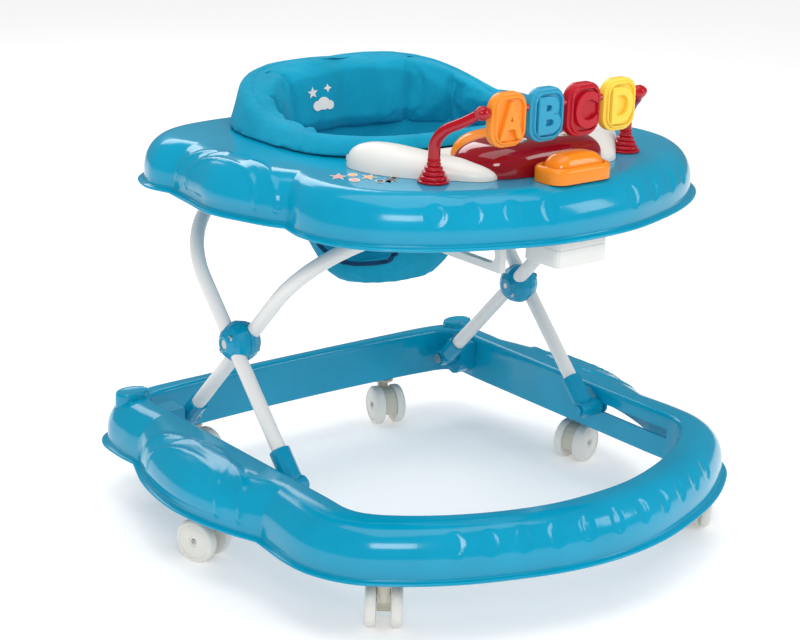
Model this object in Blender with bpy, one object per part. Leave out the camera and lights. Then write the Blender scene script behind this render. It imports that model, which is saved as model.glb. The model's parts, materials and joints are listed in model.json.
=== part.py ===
"""Folding baby walker: a castor base ring, a scissor pair of bent tubes, a tray, a fabric seat and a toy console.

Metres, +Z up. The child faces -Y. The origin is on the floor, under the middle of the base.
"""
import math

import bmesh
import bpy
from mathutils import Matrix, Vector

# ---- driving dimensions (metres) ----
gap = 0.0003                      # clearance that touching pieces keep
wall = 0.003                      # moulded shell thickness

base_half_width = 0.312
base_half_length = 0.300
base_rim_z = 0.062                # underside of the base ring's flange
base_height = 0.054
ring_side = 0.084                 # width of the ring at its sides, front and rear
ring_front = 0.054
ring_rear = 0.039
flange = 0.007
shoulder = 0.046                  # how far the rounded outer wall reaches inwards
lamp_r = (0.021, 0.014)           # half axes of the rear corner bosses
lamp_rise = 0.007                 # their height above the ring

tube_r = 0.008
tube_wall = 0.0012
leg_half_span = 0.118             # from a foot pivot to the hub, along Y
leg_rise = 0.125                  # from a foot pivot to the hub, along Z
bar_reach = 0.185                 # from the hub to a crossbar, along the leg
bend_r = 0.105
hub_y = 0.098
pivot_z = 0.093
hub_r = 0.023
hub_web = 0.001                   # wall between a tube's groove and the split of the hub
bolt_r = 0.0032
pin_r = 0.0045
eye_r = 0.0095
slot_height = 0.011
fold_degrees = 38.0

wheel_r = 0.024
wheel_width = 0.0115
castor_hood_width = 0.014
castor_trail = 0.012
stem_r = 0.005
socket_r = 0.010

tray_half_width = 0.279
tray_front = 0.239                # from the base's middle to the tray's front edge
tray_rear = 0.245
tray_rim_z = 0.383
tray_height = 0.051
tray_lip = 0.024                  # depth of the wall round the seat hole
hole_y = 0.092
hole_r = (0.166, 0.122)           # half axes of the seat hole
hole_power = 2.9                  # 2 would be an ellipse; more squares the corners
cuff_thickness = 0.013
pad_thickness = 0.024
cuff_back_z = 0.4935
cuff_front_z = 0.4555
cuff_lean = (-0.010, 0.004, -0.021)  # top edge moved out at the front, the back and, added, at the sides

post_x = 0.130
post_y = -0.133
post_r = 0.0062
post_base_r = 0.016
rod_half = 0.105
rod_y = -0.173
rod_z = 0.507
rod_r = 0.0034
bead_size = (0.045, 0.018, 0.054)
bead_drop = 0.009                 # centre of a bead below the rod it turns on
bead_pitch = 0.0495

box_half_width = 0.034
box_y = (-0.215, -0.162)
box_drop = 0.084                  # depth of the battery box below the tray's top plate

# ---- sizes that follow ----
leg_angle = math.atan2(leg_rise, leg_half_span)
leg_length = math.hypot(leg_rise, leg_half_span)
hub_z = pivot_z + leg_rise
rear_pivot_y = hub_y + leg_half_span
front_pivot_y = hub_y - leg_half_span
bar_dy = bar_reach * math.cos(leg_angle)
bar_z = hub_z + bar_reach * math.sin(leg_angle)
opening_half_width = base_half_width - ring_side
slot_wall_x = opening_half_width + wall
sleeve_r = (0.0108, 0.0115)       # rear and front foot
leg_inset = 0.019
outer_x = opening_half_width - leg_inset
inner_x = outer_x - 2 * (tube_r + hub_web) - gap
hub_x = (inner_x + outer_x) / 2
tray_top_z = tray_rim_z + tray_height
under_tray_z = tray_top_z - wall
base_top_z = base_rim_z + base_height
folded_angle = leg_angle - math.radians(fold_degrees)
slider_travel = 2 * leg_length * (math.cos(folded_angle) - math.cos(leg_angle))
bar_travel = 2 * bar_reach * (math.cos(folded_angle) - math.cos(leg_angle))
trim_z = tray_top_z + gap


# Ring outlines as shares of half width and half length: front edge, wheel arch, rear. They meet in cusps.
base_outer = [
    [(0, -1), (0.20, -0.98), (0.39, -0.925), (0.57, -0.85), (0.725, -0.755), (0.846, -0.648),
     (0.912, -0.52), (0.93, -0.39), (0.915, -0.195)],
    [(0.915, -0.195), (0.955, -0.08), (0.985, 0.045), (1.0, 0.18), (0.99, 0.32), (0.958, 0.47), (0.895, 0.635)],
    [(0.895, 0.635), (0.90, 0.745), (0.885, 0.87), (0.825, 0.955), (0.71, 0.99), (0.48, 0.998), (0.24, 1.0), (0, 1)],
]
base_inner = [
    [(0, -1), (0.23, -0.985), (0.455, -0.93), (0.66, -0.85), (0.83, -0.755), (0.95, -0.66),
     (1.0, -0.565), (1.0, -0.415), (1.0, -0.25)],
    [(1.0, -0.25), (1.0, -0.11), (1.0, 0.045), (1.0, 0.20), (1.0, 0.35), (1.0, 0.52), (1.0, 0.69)],
    [(1.0, 0.69), (1.0, 0.79), (1.0, 0.885), (0.945, 0.95), (0.80, 0.972), (0.57, 0.987), (0.285, 0.997), (0, 1)],
]
tray_outer = [
    [(0, -1), (0.19, -0.983), (0.375, -0.924), (0.54, -0.85), (0.69, -0.75), (0.81, -0.625),
     (0.882, -0.48), (0.903, -0.33), (0.882, -0.192)],
    [(0.882, -0.192), (0.92, -0.115), (0.957, 0.0), (0.987, 0.10), (1.0, 0.205), (0.985, 0.33), (0.96, 0.543)],
    [(0.96, 0.543), (0.985, 0.64), (0.98, 0.72), (0.935, 0.83), (0.83, 0.92), (0.65, 0.972), (0.44, 0.992), (0.22, 0.999), (0, 1)],
]


# ---- scene and mesh helpers ----
def clear_scene():
    for item in list(bpy.data.objects):
        bpy.data.objects.remove(item, do_unlink=True)


def finish_colour(name, colour, roughness=0.4, metallic=0.0):
    mat = bpy.data.materials.new(name)
    mat.use_nodes = True
    shader = mat.node_tree.nodes["Principled BSDF"]
    shader.inputs["Base Color"].default_value = (*colour, 1)
    shader.inputs["Roughness"].default_value = roughness
    shader.inputs["Metallic"].default_value = metallic
    return mat


def joint_empty(name, at, parent=None):
    empty = bpy.data.objects.new(name, None)
    bpy.context.scene.collection.objects.link(empty)
    place(empty, at, parent)
    return empty


def place(item, at, parent):
    item["world_at"] = tuple(at)
    base = Vector(parent["world_at"]) if parent else Vector((0, 0, 0))
    item.parent = parent
    item.location = Vector(at) - base


def piece(name, bm, mat=None, body=None, smooth=35):
    """One object from a world-space bmesh. Its origin is its body's joint axis."""
    bmesh.ops.remove_doubles(bm, verts=bm.verts, dist=1e-6)
    bmesh.ops.recalc_face_normals(bm, faces=bm.faces)
    if bm.calc_volume(signed=True) < 0:
        bmesh.ops.reverse_faces(bm, faces=bm.faces)
    at = Vector(body["world_at"]) if body else Vector((0, 0, 0))
    bmesh.ops.translate(bm, verts=bm.verts, vec=-at)
    mesh = bpy.data.meshes.new(name)
    bm.to_mesh(mesh)
    bm.free()
    mesh.shade_smooth()
    mesh.set_sharp_from_angle(angle=math.radians(smooth))
    obj = bpy.data.objects.new(name, mesh)
    bpy.context.scene.collection.objects.link(obj)
    place(obj, at, None)
    if body:
        obj.parent = body
        obj.location = (0, 0, 0)
    if mat:
        mesh.materials.append(mat)
    return obj


def cutter(name, bm):
    obj = piece(name, bm)
    obj.hide_render = True
    obj.display_type = "WIRE"
    return obj


def combine(obj, other, operation="DIFFERENCE"):
    mod = obj.modifiers.new(other.name, "BOOLEAN")
    mod.operation = operation
    mod.solver = "EXACT"
    mod.object = other


def loft(rings, closed=False):
    """Skin between equal rings of points; closed joins the last ring to the first, otherwise the ends are capped."""
    bm = bmesh.new()
    rows = [[bm.verts.new(p) for p in ring] for ring in rings]
    count = len(rows[0])
    pairs = list(zip(rows, rows[1:]))
    if closed:
        pairs.append((rows[-1], rows[0]))
    for a, b in pairs:
        for i in range(count):
            j = (i + 1) % count
            bm.faces.new((a[i], a[j], b[j], b[i]))
    if not closed:
        bm.faces.new(rows[0])
        bm.faces.new(list(reversed(rows[-1])))
    return bm


def merged(*parts):
    """One bmesh that holds several closed shapes."""
    bm = bmesh.new()
    for part in parts:
        mesh = bpy.data.meshes.new("merge")
        part.to_mesh(mesh)
        part.free()
        bm.from_mesh(mesh)
        bpy.data.meshes.remove(mesh)
    return bm


def box(low, high):
    bm = bmesh.new()
    bmesh.ops.create_cube(bm, size=1)
    size = Vector(high) - Vector(low)
    middle = (Vector(high) + Vector(low)) / 2
    bmesh.ops.transform(bm, verts=bm.verts, matrix=Matrix.Translation(middle) @ Matrix.Diagonal((*size, 1)))
    return bm


def turned(profile, at, axis=(0, 0, 1), sides=16):
    """Solid of revolution. The profile is (distance along the axis, radius), ends on the axis or capped flat."""
    turn = Vector((0, 0, 1)).rotation_difference(Vector(axis)).to_matrix()
    rings = []
    for along, radius in profile:
        ring = []
        for i in range(sides):
            a = 2 * math.pi * i / sides
            ring.append(Vector(at) + turn @ Vector((radius * math.cos(a), radius * math.sin(a), along)))
        rings.append(ring)
    return loft(rings)


def rod_between(a, b, radius, sides=16):
    a, b = Vector(a), Vector(b)
    return turned([(0, radius), ((b - a).length, radius)], a, (b - a).normalized(), sides)


def turned_ring(profile, at, axis=(0, 0, 1), sides=16):
    """Closed profile of (along, radius) swept right round the axis, which leaves a bore."""
    turn = Vector((0, 0, 1)).rotation_difference(Vector(axis)).to_matrix()
    rings = []
    for i in range(sides):
        a = 2 * math.pi * i / sides
        rings.append([Vector(at) + turn @ Vector((r * math.cos(a), r * math.sin(a), s)) for s, r in profile])
    return loft(rings, closed=True)


def extruded(outline, low, high, axis="Z"):
    """Prism of a 2-D outline along X, Y or Z; the outline holds the two other coordinates in order."""
    def point(u, v, w):
        return {"X": (w, u, v), "Y": (u, w, v), "Z": (u, v, w)}[axis]
    return loft([[point(u, v, w) for u, v in outline] for w in (low, high)])


def arc(cx, cy, r, start, end, steps):
    return [(cx + r * math.cos(math.radians(start + (end - start) * i / steps)),
             cy + r * math.sin(math.radians(start + (end - start) * i / steps))) for i in range(steps + 1)]


def rounded_rectangle(width, height, radius, steps=3):
    points = []
    for sx, sy, start in ((1, 1, 0), (-1, 1, 90), (-1, -1, 180), (1, -1, 270)):
        points += arc(sx * (width / 2 - radius), sy * (height / 2 - radius), radius, start, start + 90, steps)
    return points


def spline(points, per_span, before=None, after=None):
    """Catmull-Rom curve through the points; before and after steer its ends."""
    pts = [Vector(p) for p in points]
    first = Vector(before) if before else pts[0] * 2 - pts[1]
    last = Vector(after) if after else pts[-1] * 2 - pts[-2]
    pts = [first] + pts + [last]
    out = []
    for i in range(1, len(pts) - 2):
        p0, p1, p2, p3 = pts[i - 1:i + 3]
        for k in range(per_span):
            t = k / per_span
            out.append(0.5 * (2 * p1 + (p2 - p0) * t + (2 * p0 - 5 * p1 + 4 * p2 - p3) * t * t
                              + (3 * p1 - p0 - 3 * p2 + p3) * t ** 3))
    out.append(pts[-2])
    return out


# ---- ring shells: the base and the tray share this form ----
def outline(stretches, half_width, front, rear):
    """Closed plan curve from the half outline's three stretches."""
    half = []
    for n, stretch in enumerate(stretches):
        pts = [(x * half_width, y * (front if y < 0 else rear)) for x, y in stretch]
        before = (-pts[1][0], pts[1][1]) if n == 0 else None
        after = (-pts[-2][0], pts[-2][1]) if n == len(stretches) - 1 else None
        half += spline(pts, 1, before, after)[(1 if n else 0):]
    other = [Vector((-p.x, p.y)) for p in reversed(half[1:-1])]
    return [Vector((p.x, p.y)) for p in half] + other


def section(width, height, reach):
    """Outer side of the shell from the inner wall's foot over the crown to the flange, as (inwards, up)."""
    crown = flange + min(reach, 0.62 * width)
    foot = 0.30 * height
    points = [(width, 0), (width, height - 0.007), (width - 0.0025, height - 0.002), (width - 0.008, height)]
    for k in range(5):
        a = math.radians(90 - 22.5 * k)
        points.append((crown - (crown - flange) * math.cos(a) ** 0.9, foot + (height - foot) * math.sin(a)))
    points += [(flange, wall), (0, wall), (0, 0)]
    return points


def hollow_section(width, height, reach, lip=None):
    """Inside of the shell, open below; lip shortens the wall round the opening."""
    outer = section(width, height, reach)[3:-2]
    points = []
    for k, (n, z) in enumerate(outer):
        a = Vector(outer[max(k - 1, 0)])
        b = Vector(outer[min(k + 1, len(outer) - 1)])
        along = (b - a).normalized()
        points.append((min(n - along.y * wall, width - wall), min(z + along.x * wall, height - wall)))
    start = [(width - wall, -0.004)]
    if lip:
        start = [(width + 0.004, -0.004), (width + 0.004, height - lip), (width - wall, height - lip)]
    start += [(width - wall, height - 0.0085), (width - 0.009, height - wall)]
    return start + points[1:-1] + [(flange + wall, wall), (flange + wall, -0.004)]


def ring_solid(outer, inner, z, shape):
    rings = []
    for o, i in zip(outer, inner):
        inwards = (i - o)
        width = inwards.length
        inwards = inwards / width
        rings.append([(o.x + inwards.x * n, o.y + inwards.y * n, z + h) for n, h in shape(width)])
    return loft(rings, closed=True)


def base_outlines():
    outer = outline(base_outer, base_half_width, base_half_length, base_half_length)
    inner = outline(base_inner, opening_half_width, base_half_length - ring_front, base_half_length - ring_rear)
    return outer, inner


def tray_outlines():
    outer = outline(tray_outer, tray_half_width, tray_front, tray_rear)
    inner = []
    for p in outer:
        a = hole_angle(p)
        inner.append(hole_point(a, 0))
    return outer, inner


def hole_point(angle, out):
    """Point on the seat hole's rounded outline, moved out of it; the angle runs from the front (0) round to +X."""
    side, front = [math.copysign(abs(v) ** (2 / hole_power), v) for v in (math.sin(angle), math.cos(angle))]
    return Vector(((hole_r[0] + out) * side, hole_y - (hole_r[1] + out) * front))


def hole_angle(point):
    """Angle at which hole_point passes nearest the line from the hole's middle to a plan point."""
    side, front = point.x / hole_r[0], -(point.y - hole_y) / hole_r[1]
    side, front = [math.copysign(abs(v) ** (hole_power / 2), v) for v in (side, front)]
    return math.atan2(side, front)


castor_places = {                 # swivel axis and the way the wheels trail, in degrees from +X
    "side_right": (-0.86 * base_half_width, 0.045, 110),
    "side_left": (0.86 * base_half_width, 0.045, 195),
    "front_right": (-0.708 * base_half_width, -0.633 * base_half_length, 51),
    "front_left": (0.708 * base_half_width, -0.633 * base_half_length, 51),
    "rear_right": (-0.46 * base_half_width, base_half_length - ring_rear / 2 + 0.0015, 286),
    "rear_left": (0.46 * base_half_width, base_half_length - ring_rear / 2 + 0.0015, 254),
}


def make_base(blue):
    outer, inner = base_outlines()
    ring = piece("base_ring", ring_solid(outer, inner, base_rim_z, lambda w: section(w, base_height, shoulder)), blue)
    for side in (-1, 1):
        lamp = extruded([(side * 0.77 * base_half_width + lamp_r[0] * math.cos(a), 0.85 * base_half_length
                          + lamp_r[1] * math.sin(a)) for a in [math.radians(30 * k) for k in range(12)]],
                        base_top_z - 0.030, base_top_z + lamp_rise)
        combine(ring, cutter(f"lamp_{side}", lamp), "UNION")
    hollow = ring_solid(outer, inner, base_rim_z, lambda w: hollow_section(w, base_height, shoulder))
    hollow = cutter("base_hollow", hollow)
    for name, (x, y, _) in castor_places.items():
        socket = rod_between((x, y, base_rim_z - 0.010), (x, y, base_top_z + 0.030), socket_r, 12)
        combine(hollow, cutter(f"socket_{name}", socket))
    combine(ring, hollow)
    for name, (x, y, _) in castor_places.items():
        bore = rod_between((x, y, base_rim_z - 0.010), (x, y, stem_top_z + 0.001), stem_r + 0.0005, 12)
        combine(ring, cutter(f"bore_{name}", bore))
        mouth = rod_between((x, y, base_rim_z - 0.010), (x, y, base_rim_z + 0.0012), socket_r + 0.006, 12)
        combine(ring, cutter(f"mouth_{name}", mouth))
    for side in (-1, 1):
        y0, y1 = front_pivot_y - slider_travel - pin_r - 0.003, front_pivot_y + pin_r + 0.003
        x0, x1 = side * (opening_half_width - 0.004), side * (slot_wall_x + 0.004)
        slot = box((min(x0, x1), y0, pivot_z - slot_height / 2), (max(x0, x1), y1, pivot_z + slot_height / 2))
        combine(ring, cutter(f"slot_{side}", slot))
    return ring


def make_rear_brackets(blue, steel):
    """Bosses on the ring's inner wall that carry the rear foot pivots, and the pins in them."""
    for side, word in ((-1, "right"), (1, "left")):
        inside, outside = inner_x + sleeve_r[0] + 0.0016, opening_half_width - gap
        half = 0.014
        shape = [(rear_pivot_y - half, base_top_z - 0.006), (rear_pivot_y - half, pivot_z - 0.010)]
        shape += arc(rear_pivot_y, pivot_z - 0.010, half, 180, 360, 6)[1:]
        shape += [(rear_pivot_y + half, base_top_z - 0.006)]
        low, high = sorted((side * inside, side * outside))
        boss = piece(f"rear_bracket_{word}", extruded(shape, low, high, "X"), blue)
        centre = (side * (outside - 0.004), rear_pivot_y, pivot_z)
        combine(boss, cutter(f"pin_hole_{word}", rod_between(centre, (side * (inside - 0.01), *centre[1:]),
                                                             pin_r + gap, 12)))
        head = inner_x - sleeve_r[0] - 0.0016
        profile = [(0, 0.0062), (0.0022, 0.0062), (0.0022, pin_r), (outside - 0.005 - head + 0.0022, pin_r)]
        start = (side * (head - 0.0022), rear_pivot_y, pivot_z)
        piece(f"rear_pivot_pin_{word}", turned(profile, start, (side, 0, 0), 12), steel)


stem_top_z = base_rim_z + 0.034


def castor_hood_mesh():
    """Hood between the wheels with its stem, about the swivel axis; the wheels trail towards +X."""
    half = castor_hood_width / 2
    shape = arc(castor_trail, wheel_r, wheel_r - 0.0025, -20, 150, 9) + arc(castor_trail, wheel_r, 0.0085, 190, 300, 5)
    body = extruded(shape, -half, half, "Y")
    neck = turned([(wheel_r * 1.35, 0.0065), (wheel_r * 2 + 0.002, 0.0065), (wheel_r * 2 + 0.004, 0.013),
                   (wheel_r * 2 + 0.0075, 0.013), (wheel_r * 2 + 0.0075, stem_r), (stem_top_z, stem_r)], (0, 0, 0), sides=12)
    hood = piece("hood_body", body)
    combine(hood, cutter("hood_neck", neck), "UNION")
    bore = rod_between((castor_trail, -0.02, wheel_r), (castor_trail, 0.02, wheel_r), 0.0029, 12)
    combine(hood, cutter("hood_bore", bore))
    return baked(hood)


def baked(obj):
    """The mesh of an object with its modifiers applied; the object and its cutters go."""
    bpy.context.view_layer.update()
    mesh = bpy.data.meshes.new_from_object(obj.evaluated_get(bpy.context.evaluated_depsgraph_get()))
    for mod in list(obj.modifiers):
        bpy.data.objects.remove(mod.object, do_unlink=True)
    bpy.data.objects.remove(obj, do_unlink=True)
    return mesh


def wheel_profile(inside):
    """Tread, rounded shoulders and dished face, from the hood side out."""
    return [(inside, 0.0030), (inside, wheel_r - 0.002), (inside + 0.0015, wheel_r), (inside + wheel_width - 0.003, wheel_r),
            (inside + wheel_width, wheel_r - 0.003), (inside + wheel_width, wheel_r - 0.005),
            (inside + wheel_width - 0.001, wheel_r - 0.006), (inside + wheel_width - 0.001, 0.0030)]


def make_castors(cream, hood_mat):
    hood_mesh = castor_hood_mesh()
    hood_mesh.materials.append(hood_mat)
    hood_mesh.shade_smooth()
    hood_mesh.set_sharp_from_angle(angle=math.radians(35))
    inside = castor_hood_width / 2 + 0.0005
    for name, (x, y, trail) in castor_places.items():
        turn = Matrix.Rotation(math.radians(trail), 4, "Z")
        swivel = joint_empty(f"castor_{name}_swivel", (x, y, 0))
        hood = bpy.data.objects.new(f"castor_{name}_hood", hood_mesh)
        bpy.context.scene.collection.objects.link(hood)
        place(hood, (x, y, 0), swivel)
        hood.rotation_euler.z = math.radians(trail)
        centre = Vector((x, y, 0)) + turn @ Vector((castor_trail, 0, wheel_r))
        axle = turn @ Vector((0, 1, 0))
        spin = joint_empty(f"castor_{name}_spin", centre, swivel)
        # One wheel carries the axle pin, the other is pressed on to it.
        pin = 0.0026
        reach = inside + wheel_width - 0.0015
        profile = [(-reach, pin)] + [(inside, pin)] + wheel_profile(inside)[1:-1] + [(inside + wheel_width - 0.001, 0.004),
                                                                                   (inside + wheel_width, 0.0035)]
        piece(f"castor_{name}_wheel_and_axle", turned(profile, centre, axle, 16), cream, spin)
        piece(f"castor_{name}_wheel", turned_ring(wheel_profile(inside), centre, -axle, 16), cream, spin)


# ---- scissor legs ----
def leg_direction(way):
    """Unit vector up a leg; way is -1 for the frame that rises forwards and 1 for the one that rises backwards."""
    return Vector((0, way * math.cos(leg_angle), math.sin(leg_angle)))


def leg_path(x, way, foot_gap):
    """Centre line of one bent frame, from its right foot over the crossbar to its left foot."""
    up = leg_direction(way)
    hub = Vector((0, hub_y, hub_z))
    foot = hub - up * (leg_length - foot_gap)
    start = hub + up * (bar_reach - bend_r)
    right = [foot + Vector((-x, 0, 0)), start + Vector((-x, 0, 0))]
    for k in range(1, 7):
        a = math.pi / 2 * k / 6
        right.append(start + up * bend_r * math.sin(a) + Vector((-x + bend_r * (1 - math.cos(a)), 0, 0)))
    return right + [Vector((-p.x, p.y, p.z)) for p in reversed(right)]


def hollow_tube(path, way, radius, inside, sides=8):
    """Open-ended tube along a planar path: both skins, joined at the ends."""
    flat = Vector((1, 0, 0)).cross(leg_direction(way))
    loops = []
    for r in (radius, inside):
        rings = []
        for k, p in enumerate(path):
            a = path[max(k - 1, 0)]
            b = path[min(k + 1, len(path) - 1)]
            side = (b - a).normalized().cross(flat)
            rings.append([p + (side * math.cos(t) + flat * math.sin(t)) * r
                          for t in [2 * math.pi * i / sides for i in range(sides)]])
        loops.append(rings)
    return loft(loops[0] + list(reversed(loops[1])), closed=True)


def make_leg_frame(name, x, way, mat, body):
    tube = piece(name, hollow_tube(leg_path(x, way, 0.013), way, tube_r, tube_r - tube_wall), mat, body)
    hole = rod_between((-base_half_width, hub_y, hub_z), (base_half_width, hub_y, hub_z), bolt_r + gap, 12)
    combine(tube, cutter(f"{name}_bolt_hole", hole))
    return tube


def make_hub(side, word, blue, steel, inner_body, outer_body):
    """Ball hub split down the middle: each half grips its own tube and turns on the bolt."""
    for half, tube_x, way, body, name in ((-1, inner_x, -1, inner_body, f"hub_inner_{word}"),
                                          (1, outer_x, 1, outer_body, f"hub_outer_{word}")):
        profile = [(gap, hub_r)] + [(hub_r * math.sin(a), hub_r * math.cos(a))
                                    for a in [math.radians(d) for d in (16, 33, 50, 68)]]
        ball = turned(profile, (side * hub_x, hub_y, hub_z), (side * half, 0, 0), 16)
        shell = piece(name, ball, blue, body)
        centre = Vector((side * tube_x, hub_y, hub_z))
        along = leg_direction(way) * (hub_r + 0.01)
        combine(shell, cutter(f"{name}_groove", rod_between(centre - along, centre + along, tube_r + gap, 12)))
        far = side * (hub_x + half * (hub_r + 0.01))
        near = side * (hub_x - half * 0.001)
        combine(shell, cutter(f"{name}_bore", rod_between((near, hub_y, hub_z), (far, hub_y, hub_z), bolt_r + gap, 12)))
        if half == 1:
            seat = side * (outer_x + tube_r + gap)
            combine(shell, cutter(f"{name}_recess", rod_between((seat, hub_y, hub_z), (far, hub_y, hub_z), 0.0058, 12)))
    head = outer_x + tube_r + 2 * gap
    tail = inner_x - tube_r - 0.004
    profile = [(0, bolt_r), (head - tail, bolt_r), (head - tail, 0.0052), (head - tail + 0.0028, 0.0052)]
    piece(f"hub_bolt_{word}", turned(profile, (side * tail, hub_y, hub_z), (side, 0, 0), 12), steel, inner_body)


def make_sleeve(name, x, way, body, mat, radius, length, eye_reach):
    """Plug over a tube's end with a pivot eye below it."""
    up = leg_direction(way)
    pivot = Vector((x, hub_y, hub_z)) - up * leg_length
    cup = turned([(0.004, radius * 0.7), (0.008, radius), (length, radius)], pivot, up, 12)
    obj = piece(name, cup, mat, body)
    side = math.copysign(1, x)
    eye = rod_between(pivot - Vector((side * (radius + 0.0006), 0, 0)), pivot + Vector((side * eye_reach, 0, 0)), eye_r, 14)
    combine(obj, cutter(f"{name}_eye", eye), "UNION")
    combine(obj, cutter(f"{name}_socket", rod_between(pivot + up * 0.0127, pivot + up * (length + 0.01), tube_r + gap, 12)))
    combine(obj, cutter(f"{name}_hole", rod_between(pivot - Vector((0.03, 0, 0)), pivot + Vector((0.03, 0, 0)),
                                                    pin_r + gap, 12)))


def make_slider(side, word, body, mat):
    """Pin of a front foot through the slot in the ring's inner wall, with a washer behind the wall."""
    start = outer_x - sleeve_r[1] - 0.0032
    profile = [(0, 0.0062), (0.002, 0.0062), (0.002, pin_r), (slot_wall_x + 0.0008 - start, pin_r),
               (slot_wall_x + 0.0008 - start, 0.0095), (slot_wall_x + 0.0035 - start, 0.0095)]
    piece(f"slide_pin_{word}", turned(profile, (side * start, front_pivot_y, pivot_z), (side, 0, 0), 14), mat, body)


# ---- tray ----
def make_tray(blue, body):
    outer, inner = tray_outlines()
    shell = ring_solid(outer, inner, tray_rim_z, lambda w: section(w, tray_height, shoulder * 0.72))
    tray = piece("tray", shell, blue, body)
    hollow = ring_solid(outer, inner, tray_rim_z, lambda w: hollow_section(w, tray_height, shoulder * 0.72, tray_lip))
    combine(tray, cutter("tray_hollow", hollow))


def make_saddle(mat, body):
    """Clip under the tray that the rear crossbar turns in."""
    y = hub_y + bar_dy
    inner_wall = hole_y + hole_r[1] + wall + gap
    half = tube_r + 0.0055
    shape = [(y - half, bar_z - half), (y + half, bar_z - half), (y + half, bar_z + half),
             (inner_wall + 0.010, tray_rim_z + 0.004), (inner_wall + 0.010, tray_top_z - tray_lip + 0.014),
             (inner_wall + 0.0012, tray_top_z - tray_lip + 0.014), (inner_wall + 0.0012, tray_rim_z + 0.004),
             (y - half, bar_z + half)]
    saddle = piece("rear_crossbar_saddle", extruded(shape, -0.020, 0.020, "X"), mat, body)
    hole = rod_between((-0.03, y, bar_z), (0.03, y, bar_z), tube_r + 0.0006, 16)
    combine(saddle, cutter("saddle_bore", hole))


def make_rack(mat, body):
    """Height rack: two slotted cheeks under the tray that the front crossbar slides in."""
    bar_y = hub_y - bar_dy
    end = bar_y - bar_travel
    back = hole_y - hole_r[1] - 0.0100
    low, high = bar_z - tube_r - 0.009, under_tray_z - gap
    x, thick = 0.056, 0.004
    cheek = [(end - 0.017, low), (bar_y + 0.017, low), (bar_y + 0.017, tray_top_z - tray_lip - 0.008),
             (back, tray_top_z - tray_lip - 0.002), (back, high), (end - 0.017, high)]
    rack = piece("height_rack", extruded(cheek, -x - thick, x + thick, "X"), mat, body)
    inside = box((-x + thick, end - 0.03, low - 0.01), (x - thick, bar_y + 0.03, high - 0.005))
    combine(rack, cutter("rack_inside", inside))
    r = tube_r + 0.0012
    slot = arc(bar_y, bar_z, r, -90, 90, 6) + arc(end, bar_z, r, 90, 270, 6)
    combine(rack, cutter("rack_slot", extruded(slot, -x - 0.02, x + 0.02, "X")))
    for k in range(3):
        # notches that hold the crossbar at a height
        y = bar_y - 0.022 * (k + 1)
        notch = [(y - 0.007, bar_z + r - 0.001), (y + 0.004, bar_z + r - 0.001), (y + 0.001, bar_z + r + 0.006),
                 (y - 0.006, bar_z + r + 0.006)]
        combine(rack, cutter(f"rack_notch_{k}", extruded(notch, -x - 0.02, x + 0.02, "X")))


def make_battery_box(mat, body):
    bottom = tray_top_z - box_drop
    w, (y0, y1) = box_half_width, box_y
    centre = (y0 + y1) / 2
    plan = [(u, v + centre) for u, v in rounded_rectangle(2 * w, y1 - y0, 0.007, 3)]
    case = piece("battery_box", extruded(plan, bottom + 0.018 + gap, under_tray_z - gap), mat, body)
    cavity = box((-w + 0.0025, y0 + 0.0025, bottom + 0.0205), (w - 0.0025, y1 - 0.0025, under_tray_z + 0.01))
    combine(case, cutter("battery_cavity", cavity))
    # the front top edge follows the tray's rounded front
    top = under_tray_z - gap
    side = [(y1 + 0.01, bottom), (y1 + 0.01, top), (y0 + 0.022, top), (y0 + 0.010, top - 0.004), (y0 - 0.001, top - 0.010),
            (y0 - 0.001, bottom)]
    combine(case, cutter("battery_case_side", extruded(side, -w - 0.01, w + 0.01, "X")), "INTERSECT")
    cover = piece("battery_cover", extruded(plan, bottom, bottom + 0.018), mat, body)
    well = box((-w + 0.0025, y0 + 0.0025, bottom + 0.0025), (w - 0.0025, y1 - 0.0025, bottom + 0.03))
    combine(cover, cutter("cover_well", well))


# ---- seat ----
def oval_ring(levels, angles):
    """Closed ring round the seat hole from a section: (out, z) pairs, or functions of the angle giving them."""
    rings = []
    for a in angles:
        ring = []
        for level in levels:
            out, z = level(a) if callable(level) else level
            p = hole_point(a, out)
            ring.append((p.x, p.y, z))
        rings.append(ring)
    return loft(rings, closed=True)


def cuff_top(angle):
    """Height of the seat's top edge: high round the back, low in front."""
    back = (1 - math.cos(angle)) / 2
    t = max(0.0, (back - 0.42) / 0.58)
    return cuff_front_z + (cuff_back_z - cuff_front_z) * t ** 1.25


def leaned(angle, out, share):
    """Offset from the seat hole with the cuff's lean added; share is 0 at the cuff's foot and 1 at its top."""
    front, back, side = cuff_lean
    part = (1 - math.cos(angle)) / 2
    return out + share * (front + (back - front) * part + side * abs(math.sin(angle)) ** 2.5)


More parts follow.
